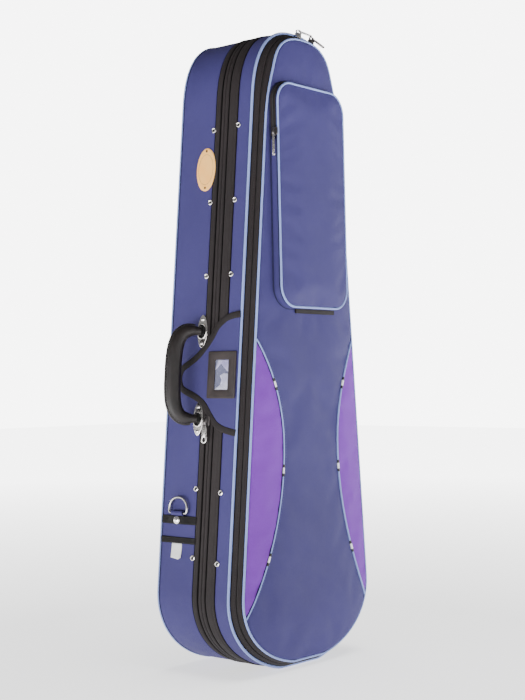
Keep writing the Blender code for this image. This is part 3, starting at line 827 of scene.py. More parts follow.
def make_pocket_zip():
    """The slanted gusset between the lid and the music panel, parted along its zip."""
    start = (0.0022, LID_FRONT_Y - 0.0014)
    close = (CLOSURE_INSET - 0.0004, CLOSURE_Y)
    end = (PANEL_INSET - 0.002, PANEL_EDGE_Y + 0.0022)

    def gusset(a, b, *steps):
        """(inset, y) points from a to b, from each step's share of the way and its rise in millimetres."""
        a, b = Vector(a), Vector(b)
        normal = Vector((b.y - a.y, a.x - b.x)).normalized()
        return [tuple(a + (b - a) * share + normal * rise / 1000) for share, rise in steps]

    lower = gusset(start, close, (0, 0), (0.2, 0.4), (0.5, 0.7), (0.62, 0.4), (0.7, 0.7), (0.9, 0.5),
                   (0.97, -0.8))
    upper = gusset(close, end, (0.04, -0.8), (0.12, 0.4), (0.45, 0.6), (0.6, 0.3), (0.75, 0.5), (1, 0))
    inside = Vector((0, LID_FRONT_Y, MIDDLE_Z))
    for name, profile, body, node, eases in (
        ("lid_side", lower, "lid", "pocket_zipper_tape", [0, 0.06, 0.2, 0.26, 0.3, 0.4, 0.45]),
        ("panel_side", upper, "music_panel", "panel_zipper_tape", [0.45, 0.5, 0.7, 0.8, 0.88, 1]),
    ):
        tape = band(f"pocket_tape_{name}", profile, "black_tape", body, TAPE, inside, eases)
        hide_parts(node)
    cord_round("music_zip_coil", CLOSURE_INSET + 0.0008, CLOSURE_Y, 0.0009, "thread", "lid", 0.45, low=0.0002)
    sewn = at_y(rounder(outline(lower[3][0] - 0.0001), 0.26), lower[3][1])
    stitches("pocket_tape_stitches", sewn, radial, "lid", closed=True)


# The music panel


PANEL_OUTLINE = rounder(outline(PANEL_INSET))


def seam_half(z):
    """Half width of the centre panel between the curved seams, as in the CAD."""
    waist, above, under = 0.275, 2.5, 1.6
    return 0.054 + (above if z > waist else under) * (z - waist) ** 2


def panel_y(points):
    """The depth of the panel's front at (x, z) points: one smooth crown, drawn in along the curved seams."""
    crown = PANEL_CROWN * dome(edge_distance(PANEL_OUTLINE, points), 0.075, 2.6)
    shade_cord = np.array([abs(abs(x) - seam_half(z)) if 0.07 < z < 0.42 else 1.0 for x, z in points])
    return PANEL_EDGE_Y - crown + 0.0009 * np.exp(-((shade_cord / 0.006) ** 2))


def seam_line(sign, zs):
    """Points just proud of the panel along a curved seam."""
    points = np.array([(sign * seam_half(z), z) for z in zs])
    return [Vector((x, y - 0.0005, z)) for (x, z), y in zip(points, panel_y(points))]


def panel_piece(name, spread, low, high, columns, levels, material):
    flat, rows, uv = face_rows(closer_at_ends(low, high, levels, 0.45), spread, columns, panel_y)
    obj = grid(name, rows, material, None, uv=uv, facing=FRONT)
    return obj, flat, face_edge(len(flat), columns)


def make_music_panel():
    low, high = PANEL_OUTLINE[:, 1].min(), PANEL_OUTLINE[:, 1].max()
    between = [z for z in np.linspace(0.05, 0.45, 400) if seam_half(z) < width_at(PANEL_OUTLINE, z) + 0.0004]
    seam_low, seam_high = min(between), max(between)

    def centre(z):
        width = max(width_at(PANEL_OUTLINE, z), 0.0006)
        if seam_low < z < seam_high:
            width = min(width, seam_half(z))
        return -width, width

    middle, flat, edge = panel_piece("panel_centre_fabric", centre, low, high, 44, 150, "blue_fabric")
    edge += list(np.nonzero(edge_distance(pocket_shape(-POCKET_FLARE), flat) < 0.006)[0])
    puffed(middle, edge, 0.9, 14, 0.0018)
    pieces = [middle]
    for side, sign in (("left", -1), ("right", 1)):

        def wing(z, sign=sign):
            inner, outer = seam_half(z), max(width_at(PANEL_OUTLINE, z), seam_half(z) + 0.0001)
            return (inner, outer) if sign > 0 else (-outer, -inner)

        piece, flat, edge = panel_piece(f"panel_{side}_inset", wing, seam_low, seam_high, 16, 60,
                                        "purple_fabric")
        puffed(piece, edge, 0.9, 14, 0.0015)
        pieces.append(piece)
        line = seam_line(sign, np.linspace(seam_low, seam_high, 90))
        under = [p + Vector((sign * 0.0009, 0.0003, 0)) for p in line]
        shade_cord = sweep(f"seam_piping_{side}", resample(line, SEAM_STEP), circle(SEAM_PIPING), "piping",
                     "music_panel")
        sweep(f"seam_shadow_{side}", resample(under, SEAM_STEP), circle(0.001, 8), "flange", "music_panel")
        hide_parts(f"inset_piping_{side}")
        for number, z in enumerate((0.350, 0.245, 0.140)):
            make_reflector(f"reflector_{side}_{number + 1}", sign, z)
        twin = [p + Vector((-sign * 0.0035, -0.0004, 0)) for p in line]
        stitches(f"seam_stitches_{side}", twin, FRONT, "music_panel", "blue_thread")
    for piece in pieces:
        thicken(piece, CLOTH)
        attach(piece, "music_panel")
    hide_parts("music_panel")
    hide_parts("inset_left")
    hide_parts("inset_right")
    panel_sheet("panel_back_lining", rounder(outline(PANEL_INSET - 0.0012)), PANEL_EDGE_Y + 0.0022,
                1.0, 0.0, "lining", "music_panel", 0.05)


def make_reflector(name, sign, z):
    """A reflective sleeve on the curved piping, with a black end at each side."""
    half, end = 0.0073, 0.0036
    overlap = 0.0002
    for part, low, high, material, radius in (
        ("low_end", -half, overlap - half + end, "thread", SEAM_PIPING + 0.0004),
        ("middle", end - half, half - end, "reflector", SEAM_PIPING + 0.0003),
        ("high_end", half - end - overlap, half, "thread", SEAM_PIPING + 0.0004),
    ):
        line = seam_line(sign, np.linspace(z + low, z + high, 7))
        sweep(f"{name}_{part}", line, circle(radius), material, "music_panel")


# The accessory pocket


POCKET_HALF = 0.0655
POCKET_LOW = 0.4445
POCKET_HIGH = 0.7175
POCKET_SPLIT = 0.6495
POCKET_RADIUS = 0.025
POCKET_FLARE = 0.0028


def pocket_shape(inset=0.0):
    """The pocket's (x, z) outline with its sides subdivided, starting at the bottom's middle."""
    half = POCKET_HALF - inset
    ring = rounded_rectangle(-half, half, POCKET_LOW + inset, POCKET_HIGH - inset, POCKET_RADIUS - inset, 10)
    path = [Vector((x, 0, z)) for x, z in ring]
    start = min(range(len(path)), key=lambda i: path[i].z * 10 + abs(path[i].x))
    return np.array([(p.x, p.z) for p in resample(path[start:] + path[:start], SEAM_STEP, closed=True)])


def down_pocket(z):
    """From 0 at the pocket's top to 1 at its foot."""
    return np.clip((POCKET_HIGH - np.asarray(z)) / (POCKET_HIGH - POCKET_LOW), 0, 1)


def pocket_edge_y(z):
    """How far the pocket's front edge stands out at a height."""
    return -0.0768 - 0.0042 * down_pocket(z)


def pocket_face_y(points):
    """The padded front of the pocket, fuller towards its foot."""
    crown = 0.003 + 0.0018 * down_pocket(points[:, 1])
    return pocket_edge_y(points[:, 1]) - crown * dome(edge_distance(pocket_shape(), points), 0.032, 2.4)


def make_accessory_pocket():
    polygon = pocket_shape()

    def spread(z):
        width = max(width_at(polygon, z), 0.002)
        return -width, width

    zs = closer_at_ends(polygon[:, 1].min() + 1e-4, polygon[:, 1].max() - 1e-4, 76, 0.4)
    flat, rows, uv = face_rows(zs, spread, 40, pocket_face_y)
    face = grid("pocket_front_fabric", rows, "blue_fabric", None, uv=uv, facing=FRONT)
    puffed(face, face_edge(len(flat), 40), 1.2, 16, 0.0022)
    thicken(face, 0.0012)
    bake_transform(face)

    def side_row(share):
        """The gusset flares a little towards the panel, and bulges between its edges."""
        found = []
        flare = POCKET_FLARE * (1 - share) + 0.0008 * math.sin(math.pi * share)
        for (x, z), panel in zip(polygon, panel_y(polygon)):
            out = Vector((x / POCKET_HALF, 0, (z - (POCKET_LOW + POCKET_HIGH) / 2) / 0.137))
            back = panel + 0.0006
            front = pocket_edge_y(z) + 0.0006
            found.append(Vector((x, back + (front - back) * share, z)) + flare * out)
        return found

    rows = [side_row(share) for share in (0.0, 0.25, 0.5, 0.75, 1.0)]
    count = len(rows[0])
    lower = [i for i in range(count) if rows[0][i].z < POCKET_SPLIT - 0.0008]
    upper = [i for i in range(count) if rows[0][i].z > POCKET_SPLIT + 0.001]
    turn = next(k for k in range(1, len(lower)) if lower[k] - lower[k - 1] > 1)
    lower = lower[turn:] + lower[:turn]
    body = grid("pocket_side_fabric", [[row[i] for i in lower] for row in rows], "blue_fabric", "music_panel",
                thickness=CLOTH, inside=(0, -0.075, 0.58))
    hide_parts("pocket_body")
    top = [[row[i] for i in upper] for row in rows]
    flap = grid("pocket_top_side", top[2:], "black_tape", "pocket_flap", thickness=CLOTH,
                inside=(0, -0.075, 0.64))
    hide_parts("pocket_flap")
    grid("pocket_top_base", top[:3], "black_tape", "music_panel", thickness=CLOTH, inside=(0, -0.075, 0.64))
    # A dark navy cord round the gusset's foot, where it meets the panel: painted shade.
    base = [p + Vector((0, -0.0004, 0)) for p in rows[0]]
    sweep("pocket_base_shade_cord", resample(base, SEAM_STEP, True), circle(0.0011, 8), "flange", "music_panel",
          closed=True)
    points = [Vector((x, pocket_edge_y(z) + 0.0004, z)) for x, z in pocket_shape(-0.0006)]
    edge = sweep("pocket_edge_piping", points, circle(0.0015), "piping", None, closed=True)
    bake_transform(edge)
    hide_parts("pocket_piping", "pocket_flap_piping")
    # A dark navy cord just behind the pocket's piping: painted shade along its seam.
    shade_cord = [p + Vector((math.copysign(0.0008, p.x), 0.0011, 0.0)) for p in points]
    shade_cord = sweep("pocket_edge_shade_cord", shade_cord, circle(0.0012, 8), "flange", None, closed=True)
    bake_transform(shade_cord)
    coil = [p for p in rows[2] if p.z > POCKET_SPLIT - 0.004]
    turn = [k for k in range(1, len(coil)) if (coil[k] - coil[k - 1]).length > 0.02]
    if turn:
        coil = coil[turn[0]:] + coil[: turn[0]]
    sweep("pocket_zip_coil", coil, circle(0.001, 8), "thread", "music_panel")
    # A black binding under the pocket's foot, laid off centre so that it also stands in as painted shadow
    # under the pocket.
    foot = np.array([(x, POCKET_LOW - 0.004) for x in np.linspace(-0.031, 0.047, 18)])
    foot = [Vector((x, y - 0.0012, z - 0.0002)) for (x, z), y in zip(foot, panel_y(foot))]
    sweep("pocket_foot_binding_and_shadow", foot, flattened(0.004, 0.0013), "binding", "music_panel")


# The closing tongue


# Its (y, z) outline from the root's top round the tip to the root's foot
TONGUE = mm(
    (-49, 437.5), (-38, 436.2), (-26, 432.5), (-12, 422.5), (-3, 409), (7, 397.5), (19, 386.5), (33, 378),
    (43.2, 371), (47.8, 357.5), (43.2, 344), (33, 337.5), (19, 332), (6, 324), (-5, 310.5), (-15, 299.5),
    (-26.5, 293.5), (-38, 290.5), (-49, 288.5),
)


def on_tongue(p, rise=0.0):
    """A point on the tongue: it bows out over the zip and lifts at its tip."""
    tip = max(0.0, (p.x - 0.018) / 0.034)
    return left(p.x, p.z, 0.0022 + 0.002 * tip**2 + 0.0006 * math.sin(38 * p.x + 21 * p.z) + rise)


def make_tongue():
    edge = smooth_path([(y, 0, z) for y, z in TONGUE], 6)
    tip = max(range(len(edge)), key=lambda i: edge[i].x)
    top = np.array([(p.x, p.z) for p in edge[: tip + 1]])
    low = np.array([(p.x, p.z) for p in edge[tip:]])[::-1]
    near_tip = edge[tip].x - 0.0055 * (1 - np.linspace(0.15, 1, 6) ** 0.5)
    rows, uv = [], []
    for y in np.unique(np.round(np.concatenate([np.linspace(-0.049, 0.0425, 40), near_tip]), 5)):
        zs = np.linspace(np.interp(y, low[:, 0], low[:, 1]), np.interp(y, top[:, 0], top[:, 1]), 26)
        rows.append([on_tongue(Vector((y, 0, z))) for z in zs])
        uv.append([(y, z) for z in zs])
    flap = grid("tongue_fabric", rows, "blue_fabric", "closing_flap", uv=uv, thickness=0.0014,
                facing=SIDE_OUT)
    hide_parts("closing_flap")
    border = resample([Vector((p.x, 0, p.z)) for p in edge], 0.003)
    inner = []
    for i, p in enumerate(border):
        along = (border[min(i + 1, len(border) - 1)] - border[max(i - 1, 0)]).normalized()
        across = Vector((along.z, 0, -along.x))
        inner.append(p - across * math.copysign(0.0036, across.dot(p - Vector((0.0, 0, 0.3625)))))
    sweep("tongue_binding", [on_tongue(p, -0.0004) for p in inner], flattened(0.0042, 0.0014), "binding",
          "closing_flap", out=SIDE_OUT)
    sewn = [on_tongue(q + (q - p) * 0.75, 0.0006) for p, q in zip(border, inner)]
    stitches("tongue_binding_stitches", sewn, SIDE_OUT, "closing_flap")


def make_label_holder():
    place = left_frame(-0.0252, 0.3613)
    edge = rounded_box(22.2, 28.5, 1.6, 3)
    window = rounded_box(10.8, 18.3, 0.8, 2)
    holder = plate("label_frame", [edge, window], place, 0.003, 0.0046, "leatherette", "closing_flap", 0.0004)
    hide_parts("id_frame")
    for name, ring in (("outer", rounded_box(20, 26.3, 1, 2)), ("inner", rounded_box(13, 20.5, 1, 2))):
        path = [place @ Vector((x, y, 0.0046)) for x, y in ring]
        stitches(f"label_{name}_stitches", path, SIDE_OUT, "closing_flap", pitch=0.0026, length=0.0018,
                 closed=True)
    across = np.linspace(-0.0107, 0.0107, 12)
    rows = [[place @ Vector((x, y, 0.0037 + ripple((x, y, 0), 60, 0.0007))) for x in across]
            for y in np.linspace(-0.0182, 0.0182, 18)]
    film = grid("label_window_film", rows, "clear_film", "closing_flap", thickness=0.0003, facing=SIDE_OUT)
    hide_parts("id_window")
    upper = mm((-10.6, 6), (-7, 18), (10.6, 18), (10.6, 3), (3, 8.5), (-2, 14), (-6, 10))
    lower = mm((-10.6, -17.8), (-2, -12), (0, -6), (-3, -1), (3, 2), (10.6, 1), (10.6, -17.8))
    # The card pieces carry blotches of blue that are painted reflection.
    for name, shape in (("upper", upper), ("lower", lower)):
        plate(f"label_card_{name}", [shape], place, 0.0029, 0.0033, "card", "closing_flap", 0.0001, 1)


# Handle


HANDLE_Y = 0.011
HANDLE_Z = 0.3615
HANDLE_SPREAD = 0.0535
HANDLE_TILT = math.radians(42)
PIVOT_RISE = 0.006
GRIP_REACH = 0.03


def handle_point(along, out):
    """A point in the grip's tilted plane, along the side and out from the pivots' line."""
    way = SIDE_OUT * math.cos(HANDLE_TILT) + Vector(BACK) * math.sin(HANDLE_TILT)
    return left(HANDLE_Y, HANDLE_Z, PIVOT_RISE) + along * SIDE_UP + out * way


def make_handle():
    half = mm((53.5, -0.8), (53.7, 5), (53.4, 12), (50.8, 19), (44, 24.8), (33, 28.3), (17, 29.8))
    size = [0.5, 0.6, 0.78, 0.86, 0.93, 0.98, 1.0]
    path = half + [(0.0, GRIP_REACH)] + [(-a, o) for a, o in reversed(half)]
    dense = smooth_path([handle_point(*p) for p in path], 8)
    widths = [v.x for v in smooth_path([(s, 0, 0) for s in size + [1.0] + size[::-1]], 8)]
    centre = handle_point(0, 0)
    axis = SIDE_UP.cross(handle_point(0, 1) - centre)
    grip = sweep("handle_grip_leather", dense, flattened(0.0094, 0.0088, 24, 2.3), "leather", "handle",
                 out=axis, scale=widths)
    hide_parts("handle_grip", "handle_pin_upper", "handle_pin_lower")
    outer = []
    for i in range(10, len(dense) - 10):
        away = (dense[i + 1] - dense[i - 1]).normalized().cross(axis).normalized()
        outer.append(dense[i] + away * math.copysign(0.0096, away.dot(dense[i] - centre)) * widths[i])
    sweep("handle_welt", outer, flattened(0.0016, 0.0012, 10, 2), "leather", "handle", out=axis)
    for side, name in ((1, "rear"), (-1, "front")):
        row = [p + axis.normalized() * side * 0.0034 - (p - centre).normalized() * 0.0007 for p in outer]
        stitches(f"handle_stitches_{name}", row, lambda p: p - centre, "handle", pitch=0.0036, length=0.0026,
                 radius=0.0004)
    make_handle_plate("upper", 1, 1)
    make_handle_plate("lower", -1, 3)


def make_handle_plate(level, sign, first):
    """A pointed oval ring, with a raised half-round collar that holds the handle's end."""
    place = left_frame(HANDLE_Y, HANDLE_Z + sign * HANDLE_SPREAD, 0.0002)
    shape = flattened(0.0083, 0.0204, 48, 1.75)
    body = plate(f"handle_bracket_{level}", [shape, oval(0.0063, 0.0082, 32)], place, 0.0, 0.0024, "chrome",
                 "rear", 0.0007, 3)
    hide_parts(f"handle_plate_{level}")
    collar = [place @ Vector((x, y, 0.0026)) for x, y in oval(0.0071, 0.009, 32)]
    sweep(f"handle_collar_{level}", collar, circle(0.001, 10), "chrome", "rear", closed=True, out=SIDE_OUT)
    # A dark disc in the plate's hole round the grip's end, as painted shade.
    turned(f"handle_socket_shade_{level}", [(5.6, -0.4), (5.6, 0.4)], place, "thread", "rear", squash=(1.12, 1.45))
    for number, end in ((first, 1), (first + 1, -1)):
        spot = place @ Matrix.Translation((0, end * 0.0148, 0.0022))
        head = turned(f"bracket_screw_{number}", [(2.3, 0), (2.3, 0.6), (1.7, 1.1), (0.6, 1.3)], spot,
                      "chrome", "rear", 20)
        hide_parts(f"handle_screw_{number}")
        # Dark crossed bars on each screw head, as painted shade in its slots.
        for way in (0, 1):
            cross = Matrix.Rotation(math.radians(35 + 90 * way + 40 * number), 4, "Z")
            plate(f"bracket_screw_slot_{number}_{way}", [rounded_box(1.2, 0.22, 0.2, 2)], spot @ cross,
                  0.0012, 0.00142, "thread", "rear", 0.00005, 1)


# Hardware on the left side


def make_eyelets():
    """Hollow rivets along both tapes."""
    profile = [(3.6, -0.4), (3.6, 0.2), (3.2, 0.8), (2.5, 1), (1.9, 0.6), (1.7, -0.2)]
    for body, y, levels in (
        ("rear", 0.01, (0.665, 0.5746, 0.483, 0.224, 0.141)),
        ("lid", -0.03, (0.667, 0.5746, 0.4836, 0.221, 0.137)),
    ):
        for number, z in enumerate(levels, 1):
            place = left_frame(y, z, 0.0004)
            turned(f"eyelet_{body}_{number}", profile, place, "chrome", body, 24)
            # A dark disc in each eyelet's hole, as painted shade.
            turned(f"eyelet_hole_shade_{body}_{number}", [(1.8, 0.1), (1.8, 0.4)], place, "thread", body, 16)


def make_badge():
    place = left_frame(0.0195, 0.6165)
    face = [(15.5, 0.2), (15.5, 1), (15.1, 1.4), (14.6, 1.5), (10, 1.5), (0.8, 1.5)]
    badge = turned("badge_oval", face, place, "brass", "rear", 64, squash=(1.0, 1.742))
    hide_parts("badge")
    line = [place @ Vector((x, y, 0.0014)) for x, y in oval(0.012, 0.019, 64)]
    sweep("badge_border_line", line, circle(0.0002, 8), "old_brass", "rear", closed=True, out=SIDE_OUT)
    for level, offset in (("upper", 0.0232), ("lower", -0.0232)):
        spot = place @ Matrix.Translation((0, offset, 0.0013))
        pin = turned(f"badge_pin_{level}", [(1.7, 0), (1.6, 0.4), (1, 0.8), (0.4, 0.9)], spot, "old_brass",
                     "rear", 18)
        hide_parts(f"badge_rivet_{level}")
        # A near-black bar on each pin's head, as painted shade in its slot.
        slot = spot @ Matrix.Rotation(0.6 + offset * 30, 4, "Z")
        plate(f"badge_pin_slot_{level}", [rounded_box(1, 0.2, 0.1, 2)], slot, 0.0007, 0.00095, "groove_shade",
              "rear", 0.00004, 1)


def make_webbing():
    ys = np.linspace(REAR_TAPE_Y - 0.0006, BACK_Y - 0.002, 36)
    for level, low, high, hump in (("upper", 0.18, 0.1902, 0.0035), ("lower", 0.1568, 0.1645, 0.0)):
        middle = (low + high) / 2
        rises = [0.0009 + ripple((y, 0, middle), 40, 0.0004) + hump * math.exp(-(((y - 0.035) / 0.015) ** 4))
                 for y in ys]
        line = [left(y, middle, rise) for y, rise in zip(ys, rises)]
        strap = sweep(f"webbing_band_{level}", line, flattened((high - low) / 2, 0.0009, 18, 5), "webbing",
                      "rear", out=SIDE_OUT)
        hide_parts(f"webbing_{level}")
        for side, z in (("top", high - 0.0014), ("foot", low + 0.0014)):
            row = [left(y, z, 0.001 + rise) for y, rise in zip(ys, rises)]
            stitches(f"webbing_{level}_{side}_stitches", row, SIDE_OUT, "rear")


def make_d_ring():
    """The folded tab with its rivet, and the ring that hangs in the fold."""
    place = left_frame(0.035, 0.1835)
    half_turn = np.linspace(0, math.pi, 9)
    fold = [(0.0098 + 0.0024 * math.sin(t), 0.0042 - 0.0024 * math.cos(t)) for t in half_turn]
    profile = mm((-1, 1.2), (4, 1.2), (7, 1.2)) + fold
    profile += mm((8.6, 5.8), (7.6, 3.6), (6.4, 2.6), (4, 2.2), (-1, 2.1))
    rows = [[place @ Vector((x, y, rise)) for x in np.linspace(-0.0094, 0.0094, 14)] for y, rise in profile]
    tab = grid("dring_loop_fabric", rows, "blue_fabric", "rear", thickness=TAPE, facing=SIDE_OUT)
    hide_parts("dring_tab")
    rivet = turned("dring_rivet_head", [(4.9, 0), (4.9, 0.6), (4.2, 1.4), (2.6, 2), (0.8, 2.2)],
                   left_frame(0.035, 0.185, 0.0052), "chrome", "rear")
    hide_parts("dring_rivet")
    arch = [p for p in rounded_rectangle(-0.0147, 0.0147, -0.0147, 0.019, 0.0134, 12) if p[1] > 0.003]
    foot = mm((-14.3, 1.2), (-13, 0), (13, 0), (14.3, 1.2))
    loop = [left_frame(0.0345, 0.1935, 0.0042) @ Vector((x, y, 0)) for x, y in arch + foot]
    ring = sweep("d_ring_wire", resample(loop, 0.002, True), circle(0.0015, 12), "steel", "d_ring",
                 closed=True, out=SIDE_OUT)
    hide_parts("d_ring")


def make_care_tag():
    """A small hanging tag, a little askew, curling away from the side at its foot."""
    rows = []
    for y in np.linspace(0.0288, 0.044, 10):
        lean = (y - 0.0288) * 0.18
        foot = 0.1372 + 0.003 * max(0.0, 1 - abs(y - 0.029) / 0.003) + lean * 0.8
        row = []
        for z in np.linspace(foot, 0.1568, 12):
            rise = 0.0008 + 0.002 * ((0.1562 - z) / 0.02) ** 2 + ripple((y, 0, z), 70, 0.0006)
            row.append(left(y + lean * 0.4, z, rise))
        rows.append(row)
    tag = grid("care_tag_cloth", rows, "white_label", "rear", thickness=0.0004, facing=SIDE_OUT)
    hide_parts("care_tag")


# Zip sliders and pulls


def make_slider(name, place, slider_body, pull_body, pull, size=1.0, metal="gunmetal", foot=-0.0012,
                pull_metal="chrome"):
    """A slider with its bridge, and a pull with an eye and a slotted end, lying along local X."""
    across, length = pull
    base = rounded_rectangle(-0.0062 * size, 0.0064 * size, -0.0046 * size, 0.0046 * size, 0.0022 * size, 5)
    body = plate(f"{name}_slider_body", [base], place, foot, 0.001 * size, metal, slider_body, 0.0005, 3)
    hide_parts(f"{name}_slider")
    arch = mm((-4.6 * size, 0.8), (-3.6, 3.2), (-0.8, 4.6), (3, 4.8), (5.2, 3.4), (5.8, 1))
    arch = smooth_path([place @ Vector((x, 0, z)) for x, z in arch], 5)
    sweep(f"{name}_slider_bridge", arch, flattened(0.0013, 0.0005, 12, 3), metal, slider_body,
          out=place.to_3x3() @ Vector((0, 0, 1)))
    wide = across / 2
    stem = max(0.0013, wide * 0.55)
    side = [(-0.0016, -stem), (0.003, -stem), (0.006, -wide)]
    end = [(length - wide * 0.9 * (1 - math.cos(t)), wide * math.sin(t)) for t in np.linspace(-1.5, 1.5, 13)]
    tab = side + end + [(x, -y) for x, y in reversed(side)]
    eye = rounded_rectangle(-0.001, 0.0042, -stem, stem, 0.0007, 3)
    eye = [(x * 0.62 - 0.0001, y * 0.62) for x, y in eye]
    hole = [(length - wide * 1.05 + x, y) for x, y in oval(wide * 0.62, wide * 0.52, 20)]
    start = place @ Matrix.Translation((0.0035, 0, 0.0036))
    piece = plate(f"{name}_pull_tab", [tab, eye, hole], start, -0.0006, 0.0008, pull_metal, pull_body, 0.0004,
                  2)
    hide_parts(f"{name}_pull")


def on_arch(x, y, rise):
    """A frame on the outline's top right: local X along the outline, local Z out of it."""
    ring = outline(0.0, 8, 1)
    for (x0, z0), (x1, z1) in zip(ring, ring[1:]):
        if x1 <= x <= x0 and z0 > TOP_CENTRE:
            along = Vector((x0 - x1, 0, z0 - z1)).normalized()
            height = z1 + (x - x1) * (z0 - z1) / (x0 - x1)
    out = Vector((-along.z, 0, along.x))
    made = Matrix((along, out.cross(along), out)).transposed().to_4x4()
    made.translation = Vector((x, y, height)) + rise * out
    return made


def make_sliders():
    down = Matrix.Rotation(-math.pi / 2, 4, "Z")
    make_slider("main", left_frame(-0.004, 0.306, 0.0024) @ down, "main_slider", "main_pull", (0.0088, 0.024))
    for side, x, metal in (("left", 0.004, "steel"), ("right", 0.03, "gunmetal")):
        make_slider(f"music_{side}", on_arch(x, -0.0545, 0.0018), "lid", f"music_{side}_pull",
                    (0.0038, 0.024), 0.62, metal, -0.006, metal)
    outward = Matrix(((0, 0, -1, 0), (0, 1, 0, 0), (1, 0, 0, 0), (0, 0, 0, 1)))
    place = Matrix.Translation((-0.0691, -0.0755, 0.656)) @ outward @ Matrix.Rotation(math.pi, 4, "Z")
    make_slider("pocket", place, "pocket_slider", "pocket_pull", (0.0034, 0.027), 0.75)


# The inside

SHELL_INSET = 0.0015
LINING_INSET = 0.0068


def make_lining(half, rim_y, end_y, crown):
    """Plush glued into a half, with a rounded corner and a slightly padded floor."""
    way = math.copysign(1, end_y - rim_y)
    corner = 0.007
    profile = [(LINING_INSET, y) for y in [rim_y, *np.linspace(rim_y, end_y - way * corner, 7)[1:-1]]]
    profile += rounded_end(LINING_INSET, end_y, way, corner, (0, 30, 60, 90))
    rows = [at_y(outline(inset), y, LINING_INSET) for inset, y in profile]
    side = grid(f"{half}_lining_side", rows, "plush", half, closed=True, inside=(0, end_y, MIDDLE_Z))
    side.data.flip_normals()
    panel_sheet(f"{half}_lining_floor", outline(LINING_INSET + corner + 0.0001), end_y, -way, crown,
                "plush", half, 0.045)
    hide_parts(f"{half}_lining")

    def edge(start, *steps):
        """(inset, y) points from their distances, in millimetres, past start and past the rim."""
        return [(start + inset, rim_y + way * y) for inset, y in mm(*steps)]

    inside = Vector((0, end_y, MIDDLE_Z))
    rim = edge(SHELL_INSET, (0, 20), (0, 0.6), (0.6, 0))
    rim += edge(LINING_INSET, (-0.8, 0), (-0.2, 0.6), (-0.2, 10))
    rim = band(f"{half}_shell_rim", rim, "laminate", half, 0.0002, inside)
    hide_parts(f"{half}_shell")
    binding = edge(LINING_INSET, (-0.6, 0.2), (1, 0.4), (1.6, 2), (0.8, 3.4))
    band(f"{half}_lining_binding", binding, "binding", half, 0.0003, inside)


def make_cradle():
    """The foam round the violin's body, cut to its outline and covered in plush with soft edges."""
    stations = mm(
        (0, 30), (30, 31), (62, 36), (86, 48), (102, 68), (106.5, 90), (105, 115), (100, 140), (84, 162),
        (66, 185), (60, 205), (59.5, 225), (66, 250), (78, 275), (85, 297), (87, 320), (84, 345), (74, 366),
        (58, 381), (36, 389), (0, 392),
    )
    ring = [(x, 0, z) for x, z in stations] + [(-x, 0, z) for x, z in stations[-2:0:-1]]
    hole = [(p.x, p.z) for p in smooth_path(ring, 4, closed=True)]
    outer = outline(LINING_INSET + 0.0034)
    below = outer[outer[:, 1] < 0.4285]
    turn = int(np.argmax(np.linalg.norm(np.diff(below, axis=0), axis=1) > 0.05)) + 1
    below = np.vstack([below[turn:], below[:turn]]) if turn > 1 else below
    body = plate("violin_cradle_plush", [[tuple(p) for p in below], hole], FACE_FRONT, -0.0545, -0.0205,
                 "plush", "rear", 0.0032, 4)
    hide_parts("violin_cradle")
    rim = [Vector((x, 0.0203, z)) for x, z in hole]
    sweep("cradle_rim_cord", resample(rim, SEAM_STEP, True), circle(0.0011, 8), "flange", "rear", closed=True)


def make_neck_rest():
    """A notched block that holds the neck, and the strap over it."""
    half = mm((30, 30), (27, 33.5), (19, 33.5), (15.5, 30), (13.5, 20), (8, 16.5))
    shape = mm((-29.5, 0.5), (29.5, 0.5)) + half + [(-x, z) for x, z in reversed(half)]
    upwards = Matrix(((1, 0, 0, 0), (0, -1, 0, 0.0546), (0, 0, -1, 0.472), (0, 0, 0, 1)))
    rest = plate("neck_rest_plush", [shape], upwards, 0.0, 0.024, "plush", "rear", 0.0022, 3)
    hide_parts("neck_rest")
    reach, z = 0.032, 0.46
    xs = np.linspace(-reach, reach, 20)
    path = [Vector((x, 0.0186 - 0.0011 * math.cos(x / reach * math.pi / 2), z)) for x in xs]
    strap = sweep("neck_strap_webbing", path, flattened(0.0078, 0.0008, 16, 5), "webbing", "rear")
    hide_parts("neck_strap")
    patch = rounded_rectangle(-0.01, 0.012, -0.0072, 0.0072, 0.0015, 3)
    plate("neck_strap_closure", [patch], Matrix.Translation((0.012, 0.0166, z)) @ FACE_FRONT, 0, 0.001,
          "binding", "rear", 0.0003)


def make_accessory_box():
    outer = rounded_rectangle(-0.0578, 0.0578, 0.6642, 0.7118, 0.003, 4)
    inner = rounded_rectangle(-0.0548, 0.0548, 0.6672, 0.7088, 0.002, 4)
    walls = plate("accessory_box_walls", [outer, inner], FACE_FRONT, -0.0546, -0.0162, "plush", "rear", 0.001,
                  3)
    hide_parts("accessory_box")
    lid = plate("accessory_lid_panel", [outer], FACE_FRONT, -0.0156, -0.0128, "plush", "accessory_lid",
                0.0012, 3)
    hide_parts("accessory_box_lid")
    steps = np.linspace(0, 1, 12)
    path = [Vector((0, 0.0128 - 0.0022 * math.sin(t * math.pi), 0.7105 - 0.016 * t)) for t in steps]
    sweep("accessory_lid_tab", path, flattened(0.0055, 0.0006, 16, 5), "webbing", "accessory_lid")
    ring = [Vector((x, 0.0127, z)) for x, z in rounded_rectangle(-0.0545, 0.0545, 0.6675, 0.7085, 0.002, 3)]
    stitches("accessory_lid_stitches", ring, FRONT, "accessory_lid", "blue_thread", closed=True)


